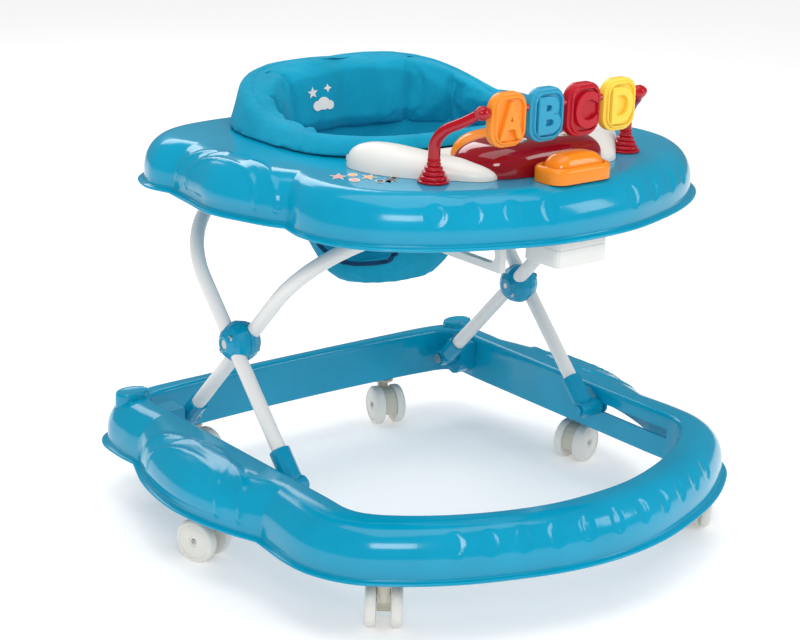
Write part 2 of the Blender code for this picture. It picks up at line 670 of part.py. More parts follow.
def make_seat(plastic, cloth, body):
    ring = [(-0.0006, trim_z), (0.004, trim_z), (0.004, trim_z + 0.003), (-0.008, trim_z + 0.003),
            (-0.008, tray_top_z - 0.018), (-0.0006, tray_top_z - 0.018)]
    stations = [hole_angle(p) for p in tray_outlines()[1]]
    piece("seat_ring", oval_ring(ring, stations), plastic, body)
    low = trim_z + 0.003 + gap
    t = cuff_thickness
    cuff = [(0.008, low), (0.012, low + 0.004)]
    for out, below in ((0.012, 0.006), (0.007, 0.0), (0.012 - t, 0.001), (0.009 - t, 0.006)):
        cuff.append(lambda a, out=out, below=below: (leaned(a, out, 1.0), cuff_top(a) - below))
    cuff.append((0.009 - t, low))
    piece("seat_cuff", oval_ring(cuff, [math.radians(10 * k) for k in range(36)]), cloth, body, 60)
    pad_steps = 16
    rings = []
    for k in range(pad_steps + 1):
        a = math.radians(100 + 160 * k / pad_steps)
        front = 0.009 - t - 0.0045
        back = front - pad_thickness * (0.35 + 0.65 * math.sin(math.pi * k / pad_steps) ** 0.5)
        z0, z1 = tray_top_z - 0.0070, cuff_top(a) - 0.003
        inset = -0.0120
        middle = (z0 + z1) / 2
        levels = [(inset, z0), (inset, low), (leaned(a, front, 0.02), low + 0.001),
                  (leaned(a, front, 1.0), z1 - 0.003), (leaned(a, front - 0.004, 1.0), z1),
                  (leaned(a, back + 0.005, 1.0), z1), (leaned(a, back, 0.9), z1 - 0.008),
                  (leaned(a, back - 0.004, 0.5), middle), (back - 0.002, z0)]
        rings.append([(*hole_point(a, out), z) for out, z in levels])
    piece("backrest_pad", loft(rings), cloth, body, 60)
    make_sling(cloth, body)


# Half width, half length, middle Y and height of the sling, from the ring down to the seat bottom.
sling_levels = [(hole_r[0] - 0.0100, hole_r[1] - 0.0100, hole_y, 0.4265), (0.136, 0.092, 0.096, 0.380),
                (0.118, 0.074, 0.099, 0.345), (0.100, 0.060, 0.100, 0.310), (0.080, 0.048, 0.100, 0.280),
                (0.062, 0.038, 0.100, 0.264)]
sling_thickness = 0.005


def make_sling(cloth, body, steps=24):
    """Hanging seat bottom: a tapering bag with a leg hole on each side of its front."""
    def ring(level, inset, drop=0.0):
        a, b, y, z = level
        return [((a - inset) * math.sin(t), y - (b - inset) * math.cos(t), z + drop)
                for t in [2 * math.pi * k / steps for k in range(steps)]]
    sunk = tray_top_z - 0.434      # the levels below are for a tray top at this height
    outside = [ring(level, 0, sunk) for level in sling_levels]
    inside = [ring(level, sling_thickness, sunk) for level in sling_levels]
    inside[-1] = ring(sling_levels[-1], sling_thickness, sunk + sling_thickness)
    bag = piece("seat_sling", loft([list(r) for r in reversed(outside)] + inside), cloth, body, 60)
    # The skin is one closed loft: outside upwards, over the hem, inside downwards.
    for side in (-1, 1):
        y, z = 0.062, 0.318 + sunk
        shape = [(y + 0.030 * math.cos(t), z + 0.026 * math.sin(t)) for t in [math.radians(36 * k) for k in range(10)]]
        low, high = sorted((side * 0.045, side * 0.20))
        combine(bag, cutter(f"leg_hole_{side}", extruded(shape, low, high, "X")))


# ---- toy console ----
def plan_outline(half, per_span=2):
    """Closed symmetric outline from half of its points, front centre to rear centre."""
    pts = spline(half, per_span, (-half[1][0], half[1][1]), (-half[-2][0], half[-2][1]))
    return [(p.x, p.y) for p in pts] + [(-p.x, p.y) for p in reversed(pts[1:-1])]


def domed(plan, z, height, steps=3, power=0.5):
    """Rounded cushion shape over a plan outline."""
    cx = sum(p[0] for p in plan) / len(plan)
    cy = sum(p[1] for p in plan) / len(plan)
    rings = [[(x, y, z) for x, y in plan]]
    for k in range(steps + 1):
        a = math.radians(15 + 70 * k / steps)
        shrink = math.cos(a) ** power
        rings.append([(cx + (x - cx) * shrink, cy + (y - cy) * shrink, z + 0.25 * height + 0.75 * height * math.sin(a))
                      for x, y in plan])
    return loft(rings)


base_plate = 0.012
nose_box = (0.041, -0.2135, -0.1705)   # half width, front and rear of the nose housing
button_travel = 0.003
round_button = (0.028, -0.140, 0.0105)   # +-X, Y and radius


def make_console(mats, body):
    cuff_out = 0.012 + 0.004
    rear = [hole_point(math.radians(a), cuff_out) for a in (0, 12, 24, 36, 46)]
    half = [(0, -0.170), (0.040, -0.169), (0.064, -0.163), (0.088, -0.148), (0.122, -0.106), (0.152, -0.070),
            (0.160, -0.042), (0.156, -0.012)] + [(p.x, p.y) for p in reversed(rear)]
    plan = plan_outline(half, 1)
    top = trim_z + base_plate
    shrunk = [(x * 0.985, y * 0.985 - 0.0012) for x, y in plan]
    piece("console_base", loft([[(x, y, trim_z) for x, y in plan], [(x, y, top - 0.003) for x, y in plan],
                                [(x, y, top) for x, y in shrunk]]), mats["white"], body)

    z = top + gap
    dome_half = [(0, -0.1680), (0.045, -0.1670), (0.070, -0.157), (0.084, -0.132), (0.076, -0.1100), (0.045, -0.1055),
                 (0, -0.105)]
    dome = piece("console_dome", domed(plan_outline(dome_half), z, 0.017), mats["red"], body)
    dome_top = z + 0.017
    for side, word in ((-1, "right"), (1, "left")):
        x, y, r = side * round_button[0], round_button[1], round_button[2]
        low = dome_top - 0.011
        combine(dome, cutter(f"button_well_{word}", rod_between((x, y, low), (x, y, dome_top + 0.02), r + 0.0006, 16)))
        at = joint_empty(f"round_button_{word}_slide", (x, y, low), body)
        profile = [(0, r), (0.008, r), (0.0105, r * 0.8), (0.0115, r * 0.4)]
        piece(f"round_button_{word}", turned(profile, (x, y, low + button_travel + 0.0005), sides=16), mats["grey"], at)

    screen_half = [(0, -0.1020), (0.040, -0.1022), (0.066, -0.097), (0.072, -0.087), (0.056, -0.078), (0, -0.076)]
    piece("console_screen", domed(plan_outline(screen_half), z, 0.020), mats["orange"], body)

    w, y0, y1 = nose_box
    middle = (y0 + y1) / 2
    nose_plan = [(u, v + middle) for u, v in rounded_rectangle(2 * w, y1 - y0, 0.017, 4)]
    nose = piece("console_nose", loft([[(x, y, trim_z) for x, y in nose_plan],
                                       [(x, y, trim_z + 0.012) for x, y in nose_plan],
                                       [(x * 0.95, middle + (y - middle) * 0.93, trim_z + 0.0155) for x, y in nose_plan]]),
                 mats["orange"], body)
    well = [(u, v + middle - 0.001) for u, v in rounded_rectangle(2 * w - 0.014, y1 - y0 - 0.010, 0.013, 4)]
    floor = trim_z + 0.003
    combine(nose, cutter("nose_well", extruded(well, floor, trim_z + 0.03)))
    at = joint_empty("nose_button_slide", (0, middle, floor), body)
    key = [(x * 0.975, middle - 0.001 + (y - middle + 0.001) * 0.96) for x, y in well]
    piece("nose_button", domed(key, floor + button_travel + 0.0005, 0.0185, 3, 0.6), mats["orange_key"], at)


def make_toy_bar(mats, body):
    for side, word in ((-1, "right"), (1, "left")):
        # Stepped foot, then the bent post, then the ball that takes the rod's end.
        stations = [((post_x, post_y, trim_z), post_base_r), ((post_x, post_y, trim_z + 0.002), post_base_r)]
        for k in range(4):
            z = trim_z + 0.0025 + 0.0045 * k
            wide = post_base_r - 0.0020 * (k + 1)
            stations += [((post_x, post_y, z + 0.0005), wide - 0.0015), ((post_x, post_y, z + 0.002), wide),
                         ((post_x, post_y, z + 0.0035), wide)]
        stations += [((post_x, post_y, trim_z + 0.0215), post_r), ((post_x, post_y, trim_z + 0.036), post_r)]
        end = Vector((rod_half, rod_y, rod_z))
        bend = spline([(post_x, post_y, trim_z + 0.036), (post_x - 0.003, post_y - 0.010, trim_z + 0.052),
                       (post_x - 0.013, post_y - 0.027, trim_z + 0.063), tuple(end)], 2,
                      (post_x, post_y, trim_z + 0.015), (rod_half - 0.012, rod_y - 0.010, rod_z + 0.001))
        stations += [(tuple(p), post_r) for p in bend[1:]]
        path = [Vector(p) for p, _ in stations]
        rings = []
        for k, (p, r) in enumerate(stations):
            a = path[max(k - 1, 0)]
            b = path[min(k + 1, len(path) - 1)]
            along = (b - a).normalized() if k > len(stations) - len(bend) - 1 else Vector((0, 0, 1))
            x_dir = Vector((0, 1, 0)).cross(along).normalized()
            y_dir = along.cross(x_dir)
            rings.append([path[k] + (x_dir * math.cos(t) + y_dir * math.sin(t)) * r
                          for t in [2 * math.pi * i / 10 for i in range(10)]])
        mirrored = [[Vector((side * p.x, p.y, p.z)) for p in ring] for ring in rings]
        post = piece(f"toy_post_{word}", loft(mirrored), mats["red"], body)
        ball = turned([(-0.0078, 0.002), (-0.0055, 0.0058), (0, 0.008), (0.0055, 0.0058), (0.0078, 0.002)],
                      (side * rod_half, rod_y, rod_z), (1, 0, 0), 12)
        combine(post, cutter(f"knob_{word}", ball), "UNION")
    reach = rod_half - 0.0078 - gap
    piece("toy_rod", rod_between((-reach, rod_y, rod_z), (reach, rod_y, rod_z), rod_r, 12), mats["red"], body)
    for k, colour in enumerate(("orange", "sky", "red", "yellow")):
        x = (k - 1.5) * bead_pitch
        at = joint_empty(f"bead_{k + 1}_spin", (x, rod_y, rod_z), body)
        w, d, h = bead_size
        centre = rod_z - bead_drop
        face = [(u + x, v + centre) for u, v in rounded_rectangle(w, h, 0.016, 4)]
        small = [(x + (u - x) * 0.90, centre + (v - centre) * 0.92) for u, v in face]
        rings = [[(u, rod_y + s * d / 2, v) for u, v in ring] for s, ring in ((-1, small), (-0.72, face), (0.72, face), (1, small))]
        bead = piece(f"letter_bead_{k + 1}", loft(rings), mats[colour], at)
        bore = rod_between((x - w, rod_y, rod_z), (x + w, rod_y, rod_z), rod_r + 0.0004, 12)
        combine(bead, cutter(f"bead_bore_{k}", bore))


def build():
    clear_scene()
    blue = finish_colour("blue_plastic", (0.0, 0.36, 0.56), 0.18)
    white = finish_colour("white_plastic", (0.86, 0.85, 0.82), 0.35)
    cream = finish_colour("castor_plastic", (0.74, 0.72, 0.67), 0.45)
    hood_mat = finish_colour("castor_hood_plastic", (0.55, 0.50, 0.42), 0.5)
    tube_mat = finish_colour("white_powder_coat", (0.82, 0.82, 0.82), 0.35)
    steel = finish_colour("zinc_steel", (0.62, 0.62, 0.62), 0.3, 1.0)
    cloth = finish_colour("teal_fabric", (0.0, 0.25, 0.38), 0.85)
    toys = {"white": white, "red": finish_colour("red_plastic", (0.62, 0.01, 0.03), 0.2),
            "orange": finish_colour("orange_plastic", (0.95, 0.30, 0.02), 0.3),
            "orange_key": finish_colour("orange_button_plastic", (0.98, 0.26, 0.01), 0.25),
            "sky": finish_colour("sky_plastic", (0.12, 0.50, 0.78), 0.3),
            "yellow": finish_colour("yellow_plastic", (0.95, 0.62, 0.06), 0.3),
            "grey": finish_colour("grey_plastic", (0.45, 0.47, 0.50), 0.3)}

    inner_leg = joint_empty("inner_leg_axis", (0, rear_pivot_y, pivot_z))
    outer_leg = joint_empty("hub_axis", (0, hub_y, hub_z), inner_leg)
    tray_body = joint_empty("tray_axis", (0, hub_y + bar_dy, bar_z), outer_leg)

    make_base(blue)
    make_rear_brackets(blue, steel)
    make_castors(cream, hood_mat)
    make_leg_frame("leg_frame_inner", inner_x, -1, tube_mat, inner_leg)
    make_leg_frame("leg_frame_outer", outer_x, 1, tube_mat, outer_leg)
    for side, word in ((-1, "right"), (1, "left")):
        make_hub(side, word, blue, steel, inner_leg, outer_leg)
        make_sleeve(f"rear_sleeve_{word}", side * inner_x, -1, inner_leg, blue, sleeve_r[0], 0.034, sleeve_r[0] + 0.0006)
        make_sleeve(f"front_sleeve_{word}", side * outer_x, 1, outer_leg, blue, sleeve_r[1], 0.042, leg_inset - 0.001)
        make_slider(side, word, outer_leg, blue)
    make_tray(blue, tray_body)
    make_saddle(white, tray_body)
    make_rack(white, tray_body)
    make_battery_box(white, tray_body)
    make_seat(blue, cloth, tray_body)
    make_console(toys, tray_body)
    make_toy_bar(toys, tray_body)


build()
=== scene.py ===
import json
import math

import bmesh
import bpy
from mathutils import Matrix, Vector, noise


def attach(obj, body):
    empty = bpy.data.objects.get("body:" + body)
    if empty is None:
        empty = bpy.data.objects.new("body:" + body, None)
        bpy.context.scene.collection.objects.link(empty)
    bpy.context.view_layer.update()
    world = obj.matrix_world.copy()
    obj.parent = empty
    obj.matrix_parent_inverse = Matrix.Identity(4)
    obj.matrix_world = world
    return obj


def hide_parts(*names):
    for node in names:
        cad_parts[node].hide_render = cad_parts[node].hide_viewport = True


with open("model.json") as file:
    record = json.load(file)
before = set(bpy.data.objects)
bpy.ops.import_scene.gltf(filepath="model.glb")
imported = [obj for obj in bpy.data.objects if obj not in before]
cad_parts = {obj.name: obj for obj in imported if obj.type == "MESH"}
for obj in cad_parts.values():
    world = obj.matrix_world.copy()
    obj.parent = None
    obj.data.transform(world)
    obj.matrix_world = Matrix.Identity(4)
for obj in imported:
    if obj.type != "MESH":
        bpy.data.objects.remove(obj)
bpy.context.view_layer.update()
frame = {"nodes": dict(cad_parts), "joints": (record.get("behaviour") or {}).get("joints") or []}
nodes = frame["nodes"]
print("frame loaded:", len(nodes), "parts")


# shader maths
class Wire:
    def __init__(self, tree, socket):
        self.tree = tree
        self.socket = socket

    # any node: its type, its own settings first, then values or links for its sockets
    def node(self, kind, settings=None, sockets=None, out=0):
        made = self.tree.nodes.new("ShaderNode" + kind)
        for name, value in (settings or {}).items():
            if name == "stops":
                ramp = made.color_ramp.elements
                while len(ramp) < len(value):
                    ramp.new(0.5)
                for slot, (at, colour) in zip(ramp, value):
                    slot.position = at
                    slot.color = colour
            else:
                setattr(made, name, value)
        for name, value in (sockets or {}).items():
            if isinstance(value, Wire):
                self.tree.links.new(value.socket, made.inputs[name])
            else:
                made.inputs[name].default_value = value
        return Wire(self.tree, made.outputs[out])

    def maths(self, operation, a, b=0.0, c=0.0):
        return self.node("Math", {"operation": operation}, {0: a, 1: b, 2: c})

    def __add__(self, other):
        return self.maths("ADD", self, other)

    def __sub__(self, other):
        return self.maths("SUBTRACT", self, other)

    def __rsub__(self, other):
        return self.maths("SUBTRACT", other, self)

    def __mul__(self, other):
        return self.maths("MULTIPLY", self, other)

    __radd__ = __add__
    __rmul__ = __mul__

    def step(self, low, high):
        return self.node("MapRange", {"interpolation_type": "SMOOTHSTEP"},
                         {"Value": self, "From Min": low, "From Max": high})

    def sine(self, scale, phase=0.0):
        return self.maths("SINE", self * scale + phase)

    def blend(self, first, second):
        # self is the factor
        return self.node("Mix", {"data_type": "RGBA"}, {0: self, 6: first, 7: second}, 2)


def rgb(*colour):
    return (*colour, 1.0)


def newMaterial(name, fixed):
    mat = bpy.data.materials.new(name)
    mat.use_nodes = True
    shader = mat.node_tree.nodes["Principled BSDF"]
    for socket, value in fixed.items():
        shader.inputs[socket].default_value = value
    return mat, shader, Wire(mat.node_tree, None).node("TexCoord", out=3)


def feed(mat, shader, **wires):
    for name, wire in wires.items():
        mat.node_tree.links.new(wire.socket, shader.inputs[name.replace("_", " ")])


def cloudy(at, scale, detail=3.0):
    return at.node("TexNoise", None, {"Vector": at, "Scale": scale, "Detail": detail, "Roughness": 0.55})


# moulded plastic: slight orange peel, uneven gloss, faint rubbed marks
def plastic(name, colour, gloss=0.16, coat=0.25, peel=0.02, shade=0.88, rub=0.10, shine=0.35):
    mat, shader, at = newMaterial(name, {"Coat Weight": coat, "Coat Roughness": 0.05,
                                         "Specular IOR Level": shine, "Roughness": gloss})
    patches = cloudy(at, 9.0).step(0.3, 0.75)
    marks = cloudy(at, 260.0, 5.0).step(0.60, 0.78)
    darker = rgb(*[c * shade for c in colour])
    feed(mat, shader, Base_Color=patches.blend(darker, rgb(*colour)))
    feed(mat, shader, Roughness=patches * 0.05 + marks * rub + gloss)
    fine = at.node("Bump", None, {"Strength": peel, "Distance": 0.001, "Height": cloudy(at, 420.0, 2.0)})
    feed(mat, shader, Normal=fine)
    return mat


# woven cover: two crossing threads, mottled dye, soft nap
def fabric(name, colour, thread=5200.0, depth=0.35):
    mat, shader, at = newMaterial(name, {"Sheen Weight": 0.05, "Sheen Roughness": 0.4, "Roughness": 0.86,
                                         "Specular IOR Level": 0.12})
    parts = at.node("SeparateXYZ", None, {0: at})
    y = Wire(mat.node_tree, parts.socket.node.outputs[1])
    z = Wire(mat.node_tree, parts.socket.node.outputs[2])
    wander = cloudy(at, 60.0) * 2.0
    warp = (parts + y * 0.7).sine(thread, 0.0) + wander * 0.1
    weft = z.sine(thread, 0.0)
    weave = warp * 0.5 + weft * 0.5
    dye = cloudy(at, 14.0, 4.0).step(0.25, 0.8)
    lint = cloudy(at, 900.0, 2.0).step(0.45, 0.75)
    dark = rgb(*[c * 0.74 for c in colour])
    pale = rgb(*[min(1.0, c * 1.12 + 0.01) for c in colour])
    tone = (dye * 0.6 + lint * 0.3 + weave.step(-1.0, 1.0) * 0.1)
    feed(mat, shader, Base_Color=tone.blend(dark, pale))
    feed(mat, shader, Roughness=lint * 0.12 + 0.78)
    feed(mat, shader, Normal=at.node("Bump", None, {"Strength": depth, "Distance": 0.0006,
                                                    "Height": weave * 0.4 + lint * 0.6}))
    return mat


def paintedTube(name, colour):
    mat, shader, at = newMaterial(name, {"Coat Weight": 0.15, "Coat Roughness": 0.2})
    grain = cloudy(at, 700.0, 2.0)
    chips = cloudy(at, 45.0, 6.0).step(0.70, 0.76)
    feed(mat, shader, Base_Color=chips.blend(rgb(*colour), rgb(*[c * 0.86 for c in colour])))
    feed(mat, shader, Roughness=grain * 0.12 + 0.24)
    feed(mat, shader, Normal=at.node("Bump", None, {"Strength": 0.05, "Distance": 0.0005, "Height": grain}))
    return mat


def steel(name, colour=(0.62, 0.62, 0.63)):
    mat, shader, at = newMaterial(name, {"Metallic": 1.0})
    brushed = cloudy(at, 500.0, 4.0)
    feed(mat, shader, Base_Color=brushed.blend(rgb(*[c * 0.7 for c in colour]), rgb(*colour)))
    feed(mat, shader, Roughness=brushed * 0.3 + 0.2)
    return mat


colours = {
    "blue": (0.0, 0.325, 0.525),
    "blueSmall": (0.0, 0.30, 0.50),
    "cloth": (0.0, 0.335, 0.53),
    "clothDark": (0.001, 0.055, 0.14),
    "tube": (0.80, 0.79, 0.77),
    "white": (0.79, 0.79, 0.76),
    "castor": (0.78, 0.77, 0.72),
    "hood": (0.60, 0.57, 0.47),
    "red": (0.45, 0.003, 0.014),
    "redDark": (0.30, 0.003, 0.012),
    "orange": (0.92, 0.27, 0.012),
    "orangeKey": (0.95, 0.25, 0.008),
    "beads": [(0.95, 0.30, 0.025), (0.02, 0.33, 0.54), (0.50, 0.004, 0.018), (0.95, 0.66, 0.07)],
}
blue = plastic("glossBlue", colours["blue"], 0.13, 0.18)
blueSmall = plastic("hubBlue", colours["blueSmall"], 0.2, 0.2)
cloth = fabric("tealCloth", colours["cloth"])
clothDark = fabric("bindingCloth", colours["clothDark"], 3600.0)
tubePaint = paintedTube("whiteTube", colours["tube"])
white = plastic("whiteMoulding", colours["white"], 0.28, 0.1, 0.03, 0.96)
castorWhite = plastic("castorWhite", colours["castor"], 0.34, 0.0, 0.05, 0.92)
hoodTan = plastic("castorHood", colours["hood"], 0.4, 0.0, 0.05, 0.85)
red = plastic("toyRed", colours["red"], 0.14, 0.3)
redDark = plastic("domeRed", colours["redDark"], 0.08, 0.6)
orange = plastic("toyOrange", colours["orange"], 0.2, 0.2)
orangeKey = plastic("noseOrange", colours["orangeKey"], 0.14, 0.4)
beadPaints = [plastic(f"beadPaint{i + 1}", c, 0.3, 0.1, 0.04, 0.93) for i, c in enumerate(colours["beads"])]
zinc = steel("zincSteel")
silver = steel("silverRing", (0.78, 0.79, 0.80))
ink = plastic("darkInk", (0.012, 0.013, 0.016), 0.3, 0.0)
print("materials made")


# mesh helpers
def addMesh(name, bm, mat, body, smooth=40, replaces=()):
    bmesh.ops.recalc_face_normals(bm, faces=bm.faces)
    mesh = bpy.data.meshes.new(name)
    bm.to_mesh(mesh)
    bm.free()
    return addPiece(name, mesh, mat, body, smooth, replaces)


def addPiece(name, mesh, mat, body, smooth=40, replaces=()):
    mesh.shade_smooth()
    mesh.set_sharp_from_angle(angle=math.radians(smooth))
    made = bpy.data.objects.new(name, mesh)
    bpy.context.scene.collection.objects.link(made)
    mesh.materials.clear()
    mesh.materials.append(mat)
    if replaces:
        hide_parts(*replaces)
    if body:
        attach(made, body)
    return made


# the mesh that an object has with its modifiers applied
def baked(obj):
    bpy.context.view_layer.update()
    return bpy.data.meshes.new_from_object(obj.evaluated_get(bpy.context.evaluated_depsgraph_get()))


def skin(rings, closed=False, bm=None):
    bm = bm or bmesh.new()
    rows = [[bm.verts.new(p) for p in ring] for ring in rings]
    pairs = list(zip(rows, rows[1:])) + ([(rows[-1], rows[0])] if closed else [])
    n = len(rows[0])
    for a, b in pairs:
        for i in range(n):
            j = (i + 1) % n
            bm.faces.new((a[i], a[j], b[j], b[i]))
    if not closed:
        bm.faces.new(rows[0])
        bm.faces.new(list(reversed(rows[-1])))
    return bm


def lathe(profile, at, axis=(0, 0, 1), sides=40, bm=None):
    turn = Vector((0, 0, 1)).rotation_difference(Vector(axis)).to_matrix()
    rings = []
    for along, radius in profile:
        rings.append([Vector(at) + turn @ Vector((radius * math.cos(t), radius * math.sin(t), along))
                      for t in [2 * math.pi * i / sides for i in range(sides)]])
    return skin(rings, bm=bm)


def curve(points, per, before=None, after=None):
    pts = [Vector(p) for p in points]
    first = Vector(before) if before else pts[0] * 2 - pts[1]
    last = Vector(after) if after else pts[-1] * 2 - pts[-2]
    pts = [first] + pts + [last]
    out = []
    for i in range(1, len(pts) - 2):
        p0, p1, p2, p3 = pts[i - 1:i + 3]
        for k in range(per):
            t = k / per
            out.append(0.5 * (2 * p1 + (p2 - p0) * t + (2 * p0 - 5 * p1 + 4 * p2 - p3) * t * t
                              + (3 * p1 - p0 - 3 * p2 + p3) * t ** 3))
    out.append(pts[-2])
    return out


# round bar along a path; radius may be one number or a list
def bar(path, radius, sides=20, flatNormal=None, bm=None):
    rings = []
    up = Vector(flatNormal) if flatNormal else None
    for k, p in enumerate(path):
        along = (path[min(k + 1, len(path) - 1)] - path[max(k - 1, 0)]).normalized()
        if up is None:
            up = along.orthogonal().normalized()
        side = along.cross(up).normalized()
        lift = side.cross(along)
        up = lift
        r = radius[k] if isinstance(radius, list) else radius
        rings.append([p + (side * math.cos(t) + lift * math.sin(t)) * r
                      for t in [2 * math.pi * i / sides for i in range(sides)]])
    return skin(rings, bm=bm)


def cutBy(obj, cutterMesh, name):
    tool = bpy.data.objects.new(name, cutterMesh)
    bpy.context.scene.collection.objects.link(tool)
    mod = obj.modifiers.new("cut", "BOOLEAN")
    mod.operation = "DIFFERENCE"
    mod.solver = "EXACT"
    mod.object = tool
    mesh = baked(obj)
    obj.modifiers.remove(mod)
    old = obj.data
    obj.data = mesh
    bpy.data.meshes.remove(old)
    bpy.data.objects.remove(tool, do_unlink=True)


def boxMesh(low, high):
    bm = bmesh.new()
    bmesh.ops.create_cube(bm, size=1)
    size = Vector(high) - Vector(low)
    bmesh.ops.transform(bm, verts=bm.verts, matrix=Matrix.Translation((Vector(high) + Vector(low)) / 2)
                        @ Matrix.Diagonal((*size, 1)))
    mesh = bpy.data.meshes.new("cutBox")
    bm.to_mesh(mesh)
    bm.free()
    return mesh


def screwHead(name, at, axis, body, r=0.0042):
    axis = Vector(axis).normalized()
    head = lathe([(0, r), (0.0008, r), (0.0014, r * 0.75), (0.0014, r * 0.42), (0.0005, r * 0.38)], at,
                 axis, 20)
    return addMesh(name, head, zinc, body, 30)


# blow-moulded ring shells
baseShell = {
    "halfWidth": 0.312, "front": 0.300, "rear": 0.300, "rimZ": 0.062, "height": 0.054, "shoulder": 0.046,
    "sideRing": 0.084, "frontRing": 0.054, "rearRing": 0.039, "wall": 0.003, "flange": 0.007, "perSpan": 22,
    "outer": [
        [(0, -1), (0.20, -0.98), (0.39, -0.925), (0.57, -0.85), (0.725, -0.755), (0.846, -0.648),
         (0.912, -0.52), (0.93, -0.39), (0.915, -0.195)],
        [(0.915, -0.195), (0.955, -0.08), (0.985, 0.045), (1.0, 0.18), (0.99, 0.32), (0.958, 0.47),
         (0.895, 0.635)],
        [(0.895, 0.635), (0.90, 0.745), (0.885, 0.87), (0.825, 0.955), (0.71, 0.99), (0.48, 0.998),
         (0.24, 1.0), (0, 1)]],
    "inner": [
        [(0, -1), (0.23, -0.985), (0.455, -0.93), (0.66, -0.85), (0.83, -0.755), (0.95, -0.66),
         (1.0, -0.565), (1.0, -0.415), (1.0, -0.25)],
        [(1.0, -0.25), (1.0, -0.11), (1.0, 0.045), (1.0, 0.20), (1.0, 0.35), (1.0, 0.52), (1.0, 0.69)],
        [(1.0, 0.69), (1.0, 0.79), (1.0, 0.885), (0.945, 0.95), (0.80, 0.972), (0.57, 0.987),
         (0.285, 0.997), (0, 1)]],
    "archY": 0.064, "archOuter": (0.098, 0.066), "archInner": (0.070, 0.046), "archTop": (0.040, 0.088),
    "ovalX": [0.0, 0.040, 0.078, 0.114, 0.148, 0.182], "ovalSize": (0.0085, 0.0145), "ovalMiddle": 0.033,
}
trayShell = {
    "halfWidth": 0.279, "front": 0.239, "rear": 0.245, "rimZ": 0.383, "height": 0.051, "shoulder": 0.0331,
    "wall": 0.003, "flange": 0.007, "perSpan": 22, "lip": 0.024, "holeY": 0.092, "hole": (0.166, 0.122),
    "power": 2.9,
    "outer": [
        [(0, -1), (0.19, -0.983), (0.375, -0.924), (0.54, -0.85), (0.69, -0.75), (0.81, -0.625),
         (0.882, -0.48), (0.903, -0.33), (0.882, -0.192)],
        [(0.882, -0.192), (0.92, -0.115), (0.957, 0.0), (0.987, 0.10), (1.0, 0.205), (0.985, 0.33),
         (0.96, 0.543)],
        [(0.96, 0.543), (0.985, 0.64), (0.98, 0.72), (0.935, 0.83), (0.83, 0.92), (0.65, 0.972),
         (0.44, 0.992), (0.22, 0.999), (0, 1)]],
    "archY": 0.042, "archOuter": (0.078, 0.056), "archInner": (0.056, 0.040), "archTop": (0.032, 0.072),
    "ovalX": [0.058, 0.098, 0.138, 0.172], "ovalSize": (0.0095, 0.013), "ovalMiddle": 0.028,
}


def closedOutline(stretches, halfWidth, front, rear, per):
    half = []
    for n, stretch in enumerate(stretches):
        pts = [(x * halfWidth, y * (front if y < 0 else rear)) for x, y in stretch]
        before = (-pts[1][0], pts[1][1]) if n == 0 else None
        after = (-pts[-2][0], pts[-2][1]) if n == len(stretches) - 1 else None
        half += curve(pts, per, before, after)[(1 if n else 0):]
    return half + [Vector((-p.x, p.y)) for p in reversed(half[1:-1])]


# outside of the shell from the inner wall's foot over the crown and down to the lip, then back up inside
def shellSection(width, shape):
    h, fl, wall = shape["height"], shape["flange"], shape["wall"]
    crown = fl + min(shape["shoulder"], 0.62 * width)
    foot = 0.30 * h
    bottom = h - shape.get("lip", h)
    pts = [(width, bottom + (h - 0.005 - bottom) * k / 8) for k in range(9)]
    pts += [(width - 0.005 * (1 - math.cos(a)), h - 0.005 + 0.005 * math.sin(a)) for a in
            [math.radians(d) for d in (22, 45, 67, 90)]]
    flat = width - 0.005 - crown
    pts += [(width - 0.005 - flat * k / 9, h) for k in range(1, 9)]
    steps = 22
    for k in range(steps + 1):
        a = math.radians(90 - 90 * k / steps)
        pts.append((crown - (crown - fl) * math.cos(a) ** 0.9, foot + (h - foot) * math.sin(a)))
    pts += [(fl, foot - (foot - wall - 0.002) * k / 5) for k in range(1, 6)]
    pts += [(fl - 0.0006, wall + 0.0006), (fl - 0.002, wall), (0.0012, wall), (0.0002, wall - 0.0008),
            (0, wall * 0.5), (0.0002, 0.0008), (0.0012, 0)]
    inside = [(fl + wall, 0.0), (fl + wall, foot)]
    for k in range(1, 7):
        a = math.radians(15 * k)
        inside.append((crown - (crown - fl - wall) * math.cos(a) ** 0.9,
                       foot + (h - wall - foot) * math.sin(a)))
    inside += [(width - wall - 0.004, h - wall), (width - wall, h - wall - 0.004), (width - wall, bottom)]
    return pts, inside


def arch(dy, du, size, width, height):
    # ridge along an ellipse in the side wall's (along, up the wall) plane
    a, b = size
    r = math.hypot(dy / a, du / b)
    if r < 0.2:
        return 0.0, 1.0
    slope = math.hypot(dy / a ** 2, du / b ** 2) / r
    off = (r - 1) / slope
    inside = 1 / (1 + math.exp(off / 0.0022))
    return height * math.exp(-(off / width) ** 2), inside


